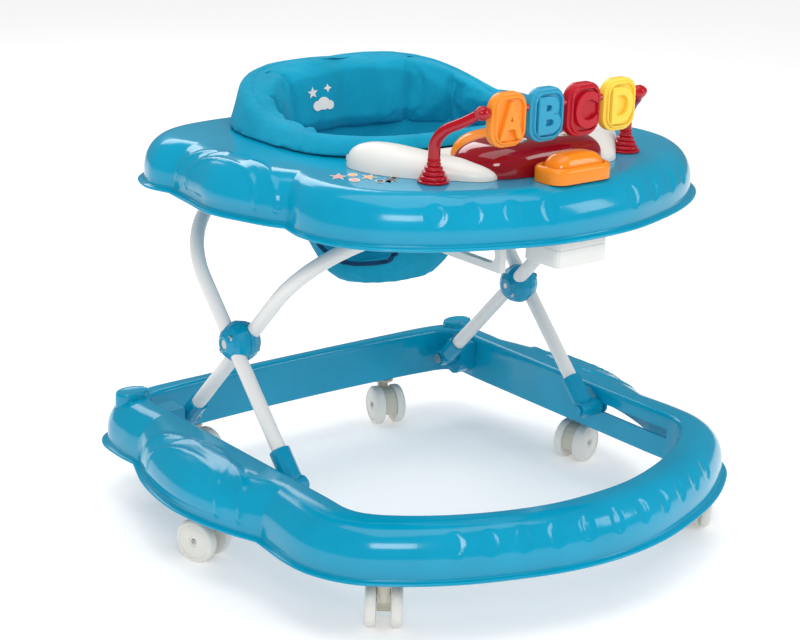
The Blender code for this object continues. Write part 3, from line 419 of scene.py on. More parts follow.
def reliefAt(shape, x, y, up):
    lift = 0.0
    if shape["archY"] - 0.14 < y < shape["archY"] + 0.14 and abs(x) > 0.16:
        dy = y - shape["archY"]
        low = up - 0.012
        below = 1 / (1 + math.exp(-(low + 0.004) / 0.0015))
        for size, w, tall in ((shape["archOuter"], 0.0028, 0.0016), (shape["archInner"], 0.0026, 0.0016)):
            ridge, inside = arch(dy, max(low, 0.0), size, w, tall)
            lift += (ridge + inside * 0.0011) * below
            knob = math.hypot(dy + size[0], low + 0.001) / 0.0040
            if knob < 1.6:
                lift = max(lift, 0.0030 * math.exp(-knob ** 3))
        a, top = shape["archTop"]
        ridge, inside = arch(dy, up - 0.02, (a * 1.5, top - 0.022), 0.0024, 0.0013)
        if abs(dy) < a * 1.45:
            lift += ridge * (1 - (dy / (a * 1.45)) ** 2)
    if y < -0.05:
        a, b = shape["ovalSize"]
        for x0 in shape["ovalX"]:
            dx = abs(x) - x0 if x0 else x
            k = 1 - 0.12 * shape["ovalX"].index(x0) / len(shape["ovalX"])
            r = math.hypot(dx / a, (up - shape["ovalMiddle"]) / b / k)
            if r < 1.8:
                off = (r - 1) * a
                lift += 0.0007 * math.exp(-(off / 0.0013) ** 2) - 0.0013 / (1 + math.exp(off / 0.0006))
    return lift


def shellRings(shape, outer, inner):
    rings = []
    for o, i in zip(outer, inner):
        way = i - o
        width = way.length
        way /= width
        pts, inside = shellSection(width, shape)
        # distance up the outer wall from the lip
        reach = [0.0] * len(pts)
        for k in range(len(pts) - 2, -1, -1):
            reach[k] = reach[k + 1] + math.dist(pts[k], pts[k + 1])
        ring = []
        for k, (n, z) in enumerate(pts):
            lift = 0.0
            if 12 <= k < len(pts) - 8:
                lift = reliefAt(shape, o.x, o.y, reach[k] - 0.012)
            dn = dz = 0.0
            if lift:
                a, b = pts[k - 1], pts[k + 1]
                length = math.dist(a, b)
                dn, dz = (b[1] - a[1]) / length, -(b[0] - a[0]) / length
            ring.append((o.x + way.x * (n + dn * lift), o.y + way.y * (n + dn * lift),
                         shape["rimZ"] + z + dz * lift))
        for n, z in inside:
            ring.append((o.x + way.x * n, o.y + way.y * n, shape["rimZ"] + z))
        rings.append(ring)
    return rings


frontSlot = {"x": (0.222, 0.236), "y": (-0.132, -0.0125), "z": (0.0875, 0.0985)}
cornerLamp = {"x": 0.77, "y": 0.85, "halfX": 0.0205, "halfY": 0.0138,  # places are shares of the shell
              "levels": ((0.086, 1.0), (0.100, 1.0), (0.116, 1.0), (0.1205, 0.985), (0.1225, 0.94),
                         (0.123, 0.88), (0.1224, 0.83), (0.1222, 0.78))}


def makeBase():
    s = baseShell
    outer = closedOutline(s["outer"], s["halfWidth"], s["front"], s["rear"], s["perSpan"])
    inner = closedOutline(s["inner"], s["halfWidth"] - s["sideRing"], s["front"] - s["frontRing"],
                          s["rear"] - s["rearRing"], s["perSpan"])
    bm = skin(shellRings(s, outer, inner), True)
    shell = addMesh("baseShell", bm, blue, "base", 50, ["base_ring"])
    for side in (-1, 1):
        low, high = zip(sorted(side * x for x in frontSlot["x"]), frontSlot["y"], frontSlot["z"])
        cutBy(shell, boxMesh(low, high), "slotTool")
    shell.data.materials.clear()
    shell.data.materials.append(blue)
    for side, word in ((-1, "right"), (1, "left")):
        x, y = side * cornerLamp["x"] * s["halfWidth"], cornerLamp["y"] * s["rear"]
        rings = []
        for z, grow in cornerLamp["levels"]:
            a, b = cornerLamp["halfX"] * grow, cornerLamp["halfY"] * grow
            rings.append([(x + a * math.cos(t), y + b * math.sin(t), z)
                          for t in [2 * math.pi * i / 40 for i in range(40)]])
        addMesh(f"cornerLamp_{word}", skin(rings), blue, "base", 45)
    for name, (x, y) in castorAxes.items():
        boss = lathe([(0.063, 0.0095), (0.064, 0.0100), (0.098, 0.0100)], (x, y, 0), sides=28)
        addMesh(f"castorSocket_{name}", boss, blue, "base", 45)


castorAxes = {}
for jointData in frame["joints"]:
    if jointData["name"].endswith("_swivel"):
        castorAxes[jointData["name"][:-7]] = tuple(jointData["pos_m"][:2])
makeBase()
print("base shell done")


def toPower(value, power):
    return math.copysign(abs(value) ** power, value)


# seat hole: a rounded oblong, angle 0 in front and growing towards +X
def holePoint(angle, out):
    a, b = trayShell["hole"]
    side, front = [toPower(v, 2 / trayShell["power"]) for v in (math.sin(angle), math.cos(angle))]
    return Vector(((a + out) * side, trayShell["holeY"] - (b + out) * front))


def holeAngle(x, y):
    a, b = trayShell["hole"]
    side, front = [toPower(v, trayShell["power"] / 2) for v in (x / a, -(y - trayShell["holeY"]) / b)]
    return math.atan2(side, front)


# outward direction and how far out a point is, 1 on the hole's outline
def holeOut(x, y):
    a, b = trayShell["hole"]
    n = trayShell["power"]
    u, v = x / a, (y - trayShell["holeY"]) / b
    reach = (abs(u) ** n + abs(v) ** n) ** (1 / n)
    return Vector((toPower(u, n - 1) / a, toPower(v, n - 1) / b, 0)).normalized(), reach


def makeTray():
    s = trayShell
    outer = closedOutline(s["outer"], s["halfWidth"], s["front"], s["rear"], s["perSpan"])
    inner = []
    for p in outer:
        inner.append(holePoint(holeAngle(p.x, p.y), 0))
    shell = addMesh("trayShell", skin(shellRings(s, outer, inner), True), blue, "tray_body", 50, ["tray"])


makeTray()
print("tray shell done")


# bent tube legs
legs = {"span": 0.118, "rise": 0.125, "bar": 0.185, "bend": 0.105, "hubY": 0.098, "pivotZ": 0.093,
        "r": 0.008,
        "footGap": 0.0135, "innerX": 0.1907, "outerX": 0.209}


def makeLeg(name, x, way, body, node):
    angle = math.atan2(legs["rise"], legs["span"])
    up = Vector((0, way * math.cos(angle), math.sin(angle)))
    hub = Vector((0, legs["hubY"], legs["pivotZ"] + legs["rise"]))
    length = math.hypot(legs["rise"], legs["span"])
    foot = hub - up * (length - legs["footGap"])
    start = hub + up * (legs["bar"] - legs["bend"])
    half = [foot + (start - foot) * (k / 8) + Vector((-x, 0, 0)) for k in range(9)]
    for k in range(1, 25):
        a = math.pi / 2 * k / 24
        out = -x + legs["bend"] * (1 - math.cos(a))
        half.append(start + up * legs["bend"] * math.sin(a) + Vector((out, 0, 0)))
    path = half + [Vector((-p.x, p.y, p.z)) for p in reversed(half)]
    tube = addMesh(name, bar(path, legs["r"], 28, Vector((1, 0, 0)).cross(up)), tubePaint, body, 40, [node])


makeLeg("innerLegTube", legs["innerX"], -1, "inner_leg", "leg_frame_inner")
makeLeg("outerLegTube", legs["outerX"], 1, "outer_leg", "leg_frame_outer")
print("legs done")


# small parts kept from the frame: finish and softened edges
def soften(node, width=0.0008, segments=2):
    mod = nodes[node].modifiers.new("softEdge", "BEVEL")
    mod.width = width
    mod.segments = segments
    mod.limit_method = "ANGLE"
    mod.angle_limit = math.radians(50)


def finishNode(node, mat):
    obj = nodes[node]
    obj.data.materials.clear()
    obj.data.materials.append(mat)


finishes = {
    "rear_bracket": blueSmall, "rear_pivot_pin": zinc, "rear_sleeve": blueSmall, "hub_inner": blueSmall,
    "hub_outer": blueSmall, "hub_bolt": zinc, "front_sleeve": blueSmall, "slide_pin": blueSmall,
    "rear_crossbar_saddle": white, "height_rack": white, "battery_box": white, "battery_cover": white,
    "seat_ring": blue, "toy_rod": red, "castor_": castorWhite,
}
for nodeName in nodes:
    for start, mat in finishes.items():
        if nodeName.startswith(start):
            finishNode(nodeName, hoodTan if nodeName.endswith("_hood") else mat)
for nodeName in ("battery_box", "battery_cover", "rear_bracket_right", "rear_bracket_left",
                 "rear_crossbar_saddle"):
    soften(nodeName, 0.0010)

hubPoint = Vector((0, legs["hubY"], legs["pivotZ"] + legs["rise"]))
hubScrews = {"x": 0.200, "ring": 0.0125, "out": 0.0175, "r": 0.0034,
             "angles": {"outer_leg": (135, -45), "inner_leg": (45, -135)}}
for side, word in ((-1, "right"), (1, "left")):
    # two screws hold the hub's halves together across the tube
    for body, out in (("outer_leg", 1), ("inner_leg", -1)):
        for letter, degrees in zip("ab", hubScrews["angles"][body]):
            a = math.radians(degrees)
            off = Vector((0, math.cos(a), math.sin(a))) * hubScrews["ring"]
            at = hubPoint + off + Vector((side * (hubScrews["x"] + out * hubScrews["out"]), 0, 0))
            screwHead(f"hubScrew_{body}_{word}_{letter}", at, (side * out, 0, 0), body, hubScrews["r"])


# castors
castorShape = {"r": 0.024, "width": 0.0115, "hood": 0.014}


def wheelProfile(side):
    w, r, inside = castorShape["width"], castorShape["r"], castorShape["hood"] / 2 + 0.0005
    pts = [(inside, 0.0028), (inside, r - 0.003), (inside + 0.0006, r - 0.0008), (inside + 0.0020, r)]
    pts += [(inside + w - 0.0040, r), (inside + w - 0.0022, r - 0.0005), (inside + w - 0.0008, r - 0.0018),
            (inside + w, r - 0.0035), (inside + w, r - 0.0045), (inside + w - 0.0008, r - 0.0052),
            (inside + w - 0.0003, r - 0.0060), (inside + w, 0.0060), (inside + w - 0.0010, 0.0054),
            (inside + w - 0.0010, 0.0028)]
    return [(side * s, radius) for s, radius in pts]


def makeWheels():
    for jointData in frame["joints"]:
        if not jointData["name"].endswith("_spin") or jointData["name"].startswith("bead"):
            continue
        name = jointData["name"][:-5]
        at, axis = Vector(jointData["pos_m"]), Vector(jointData["axis"])
        body = jointData["child"]
        for side, node in ((1, f"castor_{name}_wheel_and_axle"), (-1, f"castor_{name}_wheel")):
            wheel = addMesh(f"wheel_{name}_{'a' if side > 0 else 'b'}",
                            lathe(wheelProfile(side), at, axis, 56), castorWhite, body, 32, [node])
            face = at + axis * side * (castorShape["hood"] / 2 + 0.0005 + castorShape["width"] - 0.0012)
            screwHead(f"wheelScrew_{name}_{'a' if side > 0 else 'b'}", face, axis * side, body, 0.0032)


makeWheels()
print("castors done")


# padded seat
seat = {
    "cuffOut": 0.0160, "cuffIn": -0.0030, "back": 0.4925, "front": 0.4545, "low": 0.4345,
    "lean": (-0.010, 0.004, -0.021),
    "padStart": 68, "padEnd": 292, "padThick": 0.021, "padLow": 0.408, "rise": (0.42, 0.58, 1.25),
    "seams": [116, 148, 180, 212, 244], "seamDepth": 0.0060, "seamWidth": 0.0050,
}


def seatTop(angle):
    part = (1 - math.cos(angle)) / 2
    begin, span, power = seat["rise"]
    return seat["front"] + (seat["back"] - seat["front"]) * max(0.0, (part - begin) / span) ** power


def leaned(angle, out, z):
    front, back, side = seat["lean"]
    part = (1 - math.cos(angle)) / 2
    share = min(1.0, max(0.0, (z - seat["low"]) / (seatTop(angle) - seat["low"])))
    move = front + (back - front) * part + side * abs(math.sin(angle)) ** 2.5
    return (*holePoint(angle, out + share * move), z)


def roundedLoop(lowIn, lowOut, high, low, soft, steps=5):
    # closed cross-section of a stuffed band, as (out, z)
    pts = []
    for cx, cz, a0 in ((lowOut - soft, high - soft, 0), (lowIn + soft, high - soft, 90),
                       (lowIn + soft * 0.6, low + soft * 0.6, 180),
                       (lowOut - soft * 0.6, low + soft * 0.6, 270)):
        r = soft if a0 < 180 else soft * 0.6
        for k in range(steps + 1):
            a = math.radians(a0 + 90 * k / steps)
            pts.append((cx + r * math.cos(a), cz + r * math.sin(a)))
    return pts


def puff(obj, voxel, pressure, cap):
    # stuffed cover: remesh, inflate as cloth, limit how far it moved
    mod = obj.modifiers.new("even", "REMESH")
    mod.mode = "VOXEL"
    mod.voxel_size = voxel
    mesh = baked(obj)
    obj.modifiers.remove(mod)
    obj.data = mesh
    start = [v.co.copy() for v in mesh.vertices]
    scene = bpy.context.scene
    sim = obj.modifiers.new("stuffing", "CLOTH")
    sim.settings.use_pressure = True
    sim.settings.uniform_pressure_force = pressure
    sim.settings.effector_weights.gravity = 0
    sim.settings.quality = 5
    sim.point_cache.frame_start = 1
    sim.point_cache.frame_end = 20
    for number in range(1, 21):
        scene.frame_set(number)
    after = obj.evaluated_get(bpy.context.evaluated_depsgraph_get()).to_mesh()
    moved = [v.co.copy() for v in after.vertices]
    obj.modifiers.remove(sim)
    scene.frame_set(1)
    for v, a, b in zip(mesh.vertices, start, moved):
        step = b - a
        if step.length > cap:
            step *= cap / step.length
        v.co = a + step


def smoothOut(obj, levels=1):
    mod = obj.modifiers.new("round", "SUBSURF")
    mod.levels = levels
    mod.render_levels = levels
    mesh = baked(obj)
    obj.modifiers.remove(mod)
    obj.data = mesh


def seatAngle(co):
    return math.degrees(holeAngle(co.x, co.y)) % 360


def makeCuff():
    rings = []
    for k in range(150):
        a = 2 * math.pi * k / 150
        loop = roundedLoop(seat["cuffIn"], seat["cuffOut"] - 0.0015, seatTop(a) - 0.0015, seat["low"],
                           0.0075)
        rings.append([leaned(a, out, z) for out, z in loop])
    cuff = addMesh("seatCuff", skin(rings, True), cloth, None, 180)
    puff(cuff, 0.0042, 3.0, 0.004)
    smoothOut(cuff)
    for v in cuff.data.vertices:
        # soft rumples and the two joins of the front roll
        angle = seatAngle(v.co)
        out, _ = holeOut(v.co.x, v.co.y)
        ripple = noise.noise(Vector((v.co.x * 26, v.co.y * 26, v.co.z * 12)))
        v.co += out * ripple * 0.0013
        for seam in (14, 346):
            off = (angle - seam + 180) % 360 - 180
            if abs(off) < 4:
                v.co -= (out + Vector((0, 0, 0.6))) * 0.0016 * math.exp(-(off / 1.2) ** 2)
    finishSoft(cuff, cloth, ["seat_cuff"])


def finishSoft(obj, mat, replaced):
    obj.data.materials.clear()
    obj.data.materials.append(mat)
    obj.data.shade_smooth()
    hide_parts(*replaced)
    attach(obj, "tray_body")


def makeBackPad():
    rings = []
    steps = 120
    for k in range(steps + 1):
        a = math.radians(seat["padStart"] + (seat["padEnd"] - seat["padStart"]) * k / steps)
        share = min(1.0, 1.25 * math.sin(math.pi * k / steps)) ** 1.2
        front = seat["cuffIn"] + 0.0090
        back = front - 0.009 - (seat["padThick"] + 0.001) * (0.12 + 0.88 * share)
        loop = roundedLoop(back, front, seatTop(a) - 0.0006, seat["padLow"], 0.0074)
        rings.append([leaned(a, out - 0.010 * max(0.0, (seat["low"] - z) / 0.02), z) for out, z in loop])
    pad = addMesh("backPad", skin(rings), cloth, None, 180)
    puff(pad, 0.0042, 4.0, 0.006)
    smoothOut(pad)
    for v in pad.data.vertices:
        angle = seatAngle(v.co)
        out, reach = holeOut(v.co.x, v.co.y)
        radius = math.hypot(v.co.x, v.co.y - trayShell["holeY"])
        facing = 1.0 if reach < 0.93 else 0.0
        for n, seam in enumerate(seat["seams"]):
            wander = 0.9 * noise.noise(Vector((n * 3.1, v.co.z * 30, 0.5)))
            off = math.radians((angle - seam - wander + 180) % 360 - 180) * radius
            if abs(off) < 0.03:
                v.co += out * facing * seat["seamDepth"] * math.exp(-(abs(off) / seat["seamWidth"]) ** 1.3)
        crease = noise.noise(Vector((v.co.x * 34, v.co.y * 34, v.co.z * 18 + 7)))
        v.co -= out * 0.0014 * crease * facing
    finishSoft(pad, cloth, ["backrest_pad"])


slingLevels = [(0.1555, 0.1115, 0.092, 0.4262), (0.148, 0.102, 0.094, 0.404), (0.136, 0.092, 0.096, 0.380),
               (0.118, 0.074, 0.099, 0.345), (0.100, 0.060, 0.100, 0.310), (0.082, 0.049, 0.100, 0.280),
               (0.064, 0.040, 0.100, 0.265)]


legHole = {"y": 0.062, "z": 0.318, "halfY": 0.030, "halfZ": 0.026, "fromMiddle": 0.040}


def makeSling():
    levels = curve([Vector(level) for level in slingLevels], 7)
    around = 144
    bm = bmesh.new()
    grid = []
    for level in levels:
        a, b, y, z = level
        row = []
        for k in range(around):
            t = 2 * math.pi * k / around
            sag = 0.0022 * noise.noise(Vector((math.sin(t) * 5, math.cos(t) * 5, z * 26)))
            row.append(bm.verts.new(((a + sag) * math.sin(t), y - (b + sag) * math.cos(t), z)))
        grid.append(row)
    a, b, y, z = levels[-1]
    for shrink in (0.66, 0.33):
        grid.append([bm.verts.new((a * shrink * math.sin(t), y - b * shrink * math.cos(t), z - 0.0006))
                     for t in [2 * math.pi * k / around for k in range(around)]])

    def fromHole(co):
        # how far a point lies from a leg hole's middle; 1 is the edge
        return math.hypot((co.y - legHole["y"]) / legHole["halfY"],
                          (co.z - legHole["z"]) / legHole["halfZ"])

    for r in range(len(grid) - 1):
        for k in range(around):
            j = (k + 1) % around
            corners = (grid[r][k], grid[r][j], grid[r + 1][j], grid[r + 1][k])
            middle = sum((v.co for v in corners), Vector()) / 4
            if abs(middle.x) <= legHole["fromMiddle"] or fromHole(middle) >= 1:
                bm.faces.new(corners)
    bm.faces.new(list(reversed(grid[-1])))
    for v in bm.verts:
        # slide ragged edge points on to the hole's outline
        if v.is_boundary and 0.27 < v.co.z < 0.37:
            r = fromHole(v.co)
            v.co.y = legHole["y"] + (v.co.y - legHole["y"]) / r
            v.co.z = legHole["z"] + (v.co.z - legHole["z"]) / r
    bmesh.ops.delete(bm, geom=[v for v in bm.verts if not v.link_faces], context="VERTS")
    edges = [[v.co.copy() for v in loop] for loop in boundaryLoops(bm)
             if sum(v.co.z for v in loop) / len(loop) < 0.4]
    sling = addMesh("seatSling", bm, cloth, None, 180)
    mod = sling.modifiers.new("thickness", "SOLIDIFY")
    mod.thickness = 0.0032
    mod.offset = -1
    finishSoft(sling, cloth, ["seat_sling"])
    for n, loop in enumerate(edges):
        hem = addMesh(f"legHem_{n}", bar(loop + loop[:1], 0.0026, 10), clothDark, "tray_body", 60)


def boundaryLoops(bm):
    left = {e for e in bm.edges if e.is_boundary}
    loops = []
    while left:
        edge = left.pop()
        start, at = edge.verts
        loop = [start, at]
        while at is not start:
            nextEdge = next((e for e in at.link_edges if e in left), None)
            if nextEdge is None:
                break
            left.discard(nextEdge)
            at = nextEdge.other_vert(at)
            loop.append(at)
        loops.append(loop[:-1])
    return loops


makeCuff()
makeBackPad()
makeSling()
print("seat done")


# plain ornaments: stitched stars and a cloud on the backrest, printed stars on the tray
def starShape(cx, cy, r, points=5, turn=90):
    out = []
    for k in range(2 * points):
        reach = r if k % 2 == 0 else r * 0.45
        a = math.radians(turn + 180 * k / points)
        out.append((cx + reach * math.cos(a), cy + reach * math.sin(a)))
    return out


def discShape(cx, cy, r, steps=24):
    return [(cx + r * math.cos(2 * math.pi * k / steps),
             cy + r * math.sin(2 * math.pi * k / steps)) for k in range(steps)]


def grown(shape, share):
    mx = sum(p[0] for p in shape) / len(shape)
    my = sum(p[1] for p in shape) / len(shape)
    return [(mx + (x - mx) * share, my + (y - my) * share) for x, y in shape]


def flatShapes(shapes, place):
    bm = bmesh.new()
    for shape in shapes:
        face = bm.faces.new([bm.verts.new((x, y, 0)) for x, y in shape])
        bmesh.ops.triangulate(bm, faces=[face])
    bmesh.ops.subdivide_edges(bm, edges=bm.edges, cuts=2, use_grid_fill=True)
    for v in bm.verts:
        v.co = place(v.co.x, v.co.y)
    return bm


def makeOrnaments():
    pad = bpy.data.objects["backPad"]
    patches = {"Cloud": [discShape(-0.006, -0.006, 0.0055), discShape(0.001, -0.004, 0.0070),
                         discShape(0.008, -0.0065, 0.0050)],
               "Star": [starShape(-0.011, 0.009, 0.0066)], "Spark": [starShape(0.007, 0.012, 0.0048, 4)]}
    middle = Vector((-0.036, 0.100, 0.4500))

    def onPad(x, y):
        start = middle + Vector((x * 1.25, 0, y))
        hit, spot, _, _ = pad.ray_cast(start, Vector((0, 1, 0)))
        return spot + Vector((0, -0.0006, 0)) if hit else start + Vector((0, 0.08, 0))

    for name, shapes in patches.items():
        patch = addMesh(f"stitched{name}", flatShapes(shapes, onPad), white, "tray_body", 60)
    prints = {"Pink": ((0.80, 0.42, 0.40), [starShape(-0.026, 0.002, 0.0075),
                                            discShape(-0.010, -0.006, 0.0042)]),
              "Amber": ((0.86, 0.50, 0.26), [starShape(0.004, 0.003, 0.0070, 5, 70),
                                             discShape(-0.012, 0.008, 0.0038)]),
              "Night": ((0.10, 0.12, 0.16), [starShape(0.026, -0.002, 0.0065, 6),
                                             discShape(0.015, -0.007, 0.0036)])}
    turn = Matrix.Rotation(math.radians(-38), 3, "Z")

    def onTray(height):
        def place(x, y):
            return Vector((-0.178, -0.086, 0.4340 + height)) + turn @ Vector((x, y * 1.5, 0))
        return place

    rims = [grown(shape, 1.3) for _, shapes in prints.values() for shape in shapes]
    addMesh("trayPrintRim", flatShapes(rims, onTray(0.00035)), white, "tray_body", 60)
    for name, (colour, shapes) in prints.items():
        printInk = plastic(f"print{name}", colour, 0.3, 0.0)
        addMesh(f"trayPrint{name}", flatShapes(shapes, onTray(0.0006)), printInk, "tray_body", 60)


makeOrnaments()
print("ornaments done")


# toy console
console = {
    "z": 0.4343, "plateHeight": 0.0065, "domeHeight": 0.0315, "screenHeight": 0.0335,
    "nose": (0.041, -0.2135, -0.1705), "noseHeight": 0.0155, "wellFloor": 0.0025,
    "keyFoot": 0.0060, "keyHeight": 0.0215, "buttons": (0.028, -0.140, 0.0105), "buttonZ": 0.4561,
}


def planOutline(half, per):
    pts = curve(half, per, (-half[1][0], half[1][1]), (-half[-2][0], half[-2][1]))
    return [(p.x, p.y) for p in pts] + [(-p.x, p.y) for p in reversed(pts[1:-1])]


def insetLoop(loop, distance):
    # moves a plan loop inwards along its normals
    area = sum(a[0] * b[1] - b[0] * a[1] for a, b in zip(loop, loop[1:] + loop[:1]))
    sign = 1 if area > 0 else -1
    out = []
    for k, p in enumerate(loop):
        a, b = loop[k - 2], loop[(k + 2) % len(loop)]
        dx, dy = b[0] - a[0], b[1] - a[1]
        length = math.hypot(dx, dy) or 1
        out.append((p[0] - sign * dy / length * distance, p[1] + sign * dx / length * distance))
    return out


def cushionRings(plan, z, height, edge, steps=8, crown=None, base=0.25):
    # straight side up to base share, then a rounded edge; crown(x, y) adds to the height
    lift = crown or (lambda x, y: 0.0)
    rings = [[(x, y, z) for x, y in plan]]
    for k in range(steps + 1):
        a = math.pi / 2 * k / steps
        loop = insetLoop(plan, edge * (1 - math.cos(a)))
        share = base + (1 - base) * math.sin(a)
        rings.append([(x, y, z + (height + lift(x, y)) * share) for x, y in loop])
    return rings


def domeRings(plan, z, height, steps=14, power=0.5):
    cx = sum(p[0] for p in plan) / len(plan)
    cy = sum(p[1] for p in plan) / len(plan)
    rings = [[(x, y, z) for x, y in plan]]
    for k in range(steps + 1):
        a = math.radians(8 + 80 * k / steps)
        shrink = math.cos(a) ** power
        rings.append([(cx + (x - cx) * shrink, cy + (y - cy) * shrink,
                       z + 0.25 * height + 0.75 * height * math.sin(a))
                      for x, y in plan])
    return rings


def roundedPlan(w, h, r, cx, cy, steps=8):
    pts = []
    for sx, sy, a0 in ((1, 1, 0), (-1, 1, 90), (-1, -1, 180), (1, -1, 270)):
        for k in range(steps + 1):
            a = math.radians(a0 + 90 * k / steps)
            pts.append((cx + sx * (w / 2 - r) + r * math.cos(a), cy + sy * (h / 2 - r) + r * math.sin(a)))
    return pts


# wing lobes: middle line, half width and height, from beside the seat to beside the nose
wingLine = [(0.145, -0.024, 0.014, 0.016), (0.145, -0.044, 0.022, 0.024), (0.137, -0.072, 0.025, 0.0265),
            (0.119, -0.098, 0.025, 0.023), (0.098, -0.120, 0.023, 0.018), (0.082, -0.141, 0.020, 0.014),
            (0.068, -0.158, 0.015, 0.010)]


def makeWing(side, bm):
    line = curve([(x, y, 0) for x, y, w, h in wingLine], 6)
    sizes = curve([(w, h, 0) for x, y, w, h in wingLine], 6)
    rings = []
    count = len(line)
    for k, (p, size) in enumerate(zip(line, sizes)):
        along = (line[min(k + 1, count - 1)] - line[max(k - 1, 0)]).normalized()
        across = Vector((-along.y, along.x, 0))
        # ends close in a quarter circle
        close = min(k / 7, (count - 1 - k) / 5, 1.0)
        grow = math.sqrt(max(0.02, 1 - (1 - close) ** 2))
        ring = []
        for n in range(25):
            t = math.pi * n / 24
            u = math.copysign(abs(math.cos(t)) ** 0.75, math.cos(t)) * size.x * grow
            q = p + across * u
            ring.append((side * q.x, q.y,
                         console["z"] + size.y * (0.25 + 0.75 * grow) * math.sin(t) ** 0.8))
        rings.append(ring)
    skin(rings, bm=bm)


def makeConsole():
    rear = [holePoint(math.radians(a), 0.016) for a in (0, 12, 24, 36, 46)]
    half = [(0, -0.168), (0.040, -0.167), (0.060, -0.161), (0.080, -0.142), (0.110, -0.104),
            (0.138, -0.070), (0.150, -0.042), (0.148, -0.018)] + [(p.x, p.y) for p in reversed(rear)]
    plan = planOutline(half, 8)
    bm = skin(cushionRings(plan, console["z"], console["plateHeight"], 0.002, 4))
    for side in (-1, 1):
        makeWing(side, bm)
    base = addMesh("consoleWing", bm, white, "tray_body", 50, ["console_base"])
    z = console["z"] + 0.0003
    domeHalf = [(0, -0.1690), (0.045, -0.1680), (0.072, -0.158), (0.086, -0.132), (0.080, -0.102),
                (0.045, -0.090), (0, -0.088)]
    domeSkin = skin(domeRings(planOutline(domeHalf, 10), z, console["domeHeight"], 18, 0.45))
    dome = addMesh("consoleDome", domeSkin, redDark, "tray_body", 50, ["console_dome"])
    screenHalf = [(0, -0.112), (0.040, -0.112), (0.066, -0.104), (0.073, -0.092), (0.058, -0.080),
                  (0, -0.076)]
    screenSkin = skin(domeRings(planOutline(screenHalf, 10), z, console["screenHeight"], 18, 0.4))
    screen = addMesh("consoleScreen", screenSkin, orange, "tray_body", 50, ["console_screen"])
    w, y0, y1 = console["nose"]
    middle = (y0 + y1) / 2
    nosePlan = roundedPlan(2 * w, y1 - y0, 0.017, 0, middle)
    housing = cushionRings(nosePlan, console["z"], console["noseHeight"], 0.0045, 6, base=0.7)
    rim = housing[-1]
    well = roundedPlan(2 * w - 0.014, y1 - y0 - 0.010, 0.013, 0, middle - 0.001)
    housing.append([(x, y, rim[0][2]) for x, y in well])
    housing.append([(x, y, console["z"] + console["wellFloor"]) for x, y in well])
    addMesh("consoleNose", skin(housing), orange, "tray_body", 40, ["console_nose"])
    key = [(x * 0.975, middle - 0.001 + (y - middle + 0.001) * 0.96) for x, y in well]
    keySkin = skin(domeRings(key, console["z"] + console["keyFoot"], console["keyHeight"], 14, 0.55))
    nose = addMesh("noseButton", keySkin, orangeKey, "nose_key", 50, ["nose_button"])
    low = console["buttonZ"]
    for side, word in ((-1, "right"), (1, "left")):
        x, y, r = side * console["buttons"][0], console["buttons"][1], console["buttons"][2]
        ring = lathe([(0, r), (0.0085, r), (0.0100, r * 0.93), (0.0105, r * 0.84), (0.0098, r * 0.76),
                      (0.0092, r * 0.72)],
                     (x, y, low), sides=48)
        addMesh(f"buttonRing_{word}", ring, silver, f"key_{word}", 40, [f"round_button_{word}"])
        cap = lathe([(0.004, r * 0.70), (0.0096, r * 0.70), (0.0110, r * 0.60), (0.0115, r * 0.35),
                     (0.0116, r * 0.1)],
                    (x, y, low), sides=40)
        addMesh(f"buttonCap_{word}", cap, white, f"key_{word}", 40)
        dot = lathe([(0.0110, r * 0.30), (0.01175, r * 0.30), (0.0119, r * 0.22)], (x, y, low), sides=32)
        addMesh(f"buttonDot_{word}", dot, ink, f"key_{word}", 40)


toyBar = {"x": 0.130, "y": -0.133, "r": 0.0062, "baseR": 0.016, "rodHalf": 0.105, "rodY": -0.173,
          "rodZ": 0.507, "drop": 0.009,
          "bead": (0.045, 0.018, 0.054), "pitch": 0.0495,
          "letterWidth": 0.0295, "letterHeight": 0.0375, "letterOut": 0.0069}


def makePosts():
    s, z0 = toyBar, console["z"]
    for side, word in ((-1, "right"), (1, "left")):
        foot = [(0.0, s["baseR"] - 0.0006), (0.0006, s["baseR"]), (0.0020, s["baseR"]),
                (0.0027, s["baseR"] - 0.0012)]
        for k in range(4):
            z = 0.0027 + 0.0045 * k
            wide = s["baseR"] - 0.0022 * (k + 1)
            foot += [(z + 0.0004, wide - 0.0012), (z + 0.0010, wide - 0.0002), (z + 0.0024, wide),
                     (z + 0.0034, wide - 0.0004), (z + 0.0040, wide - 0.0018)]
        foot += [(0.0215, 0.0068), (0.024, s["r"])]
        bm = lathe(foot, (side * s["x"], s["y"], z0), sides=40)
        end = (s["rodHalf"], s["rodY"], s["rodZ"])
        stem = [Vector((s["x"], s["y"], z0 + 0.020)), Vector((s["x"], s["y"], z0 + 0.028))]
        stem += curve([(s["x"], s["y"], z0 + 0.036), (s["x"] - 0.003, s["y"] - 0.010, z0 + 0.052),
                       (s["x"] - 0.013, s["y"] - 0.027, z0 + 0.063), end], 8, (s["x"], s["y"], z0 + 0.015),
                      (s["rodHalf"] - 0.012, s["rodY"] - 0.010, s["rodZ"] + 0.001))
        thick = [s["r"] * (1 - 0.26 * k / len(stem)) for k in range(len(stem))]
        bar([Vector((side * p.x, p.y, p.z)) for p in stem], thick, 24, (1, 0, 0), bm)
        knob = [(-0.0078, 0.0042), (-0.0060, 0.0048), (-0.0048, 0.0060), (-0.0025, 0.0069), (0, 0.0071),
                (0.0025, 0.0069), (0.0048, 0.0060), (0.0060, 0.0048), (0.0078, 0.0042)]
        lathe(knob, (side * s["rodHalf"], s["rodY"], s["rodZ"]), (1, 0, 0), 32, bm)
        post = addMesh(f"toyPost_{word}", bm, red, "tray_body", 45, [f"toy_post_{word}"])


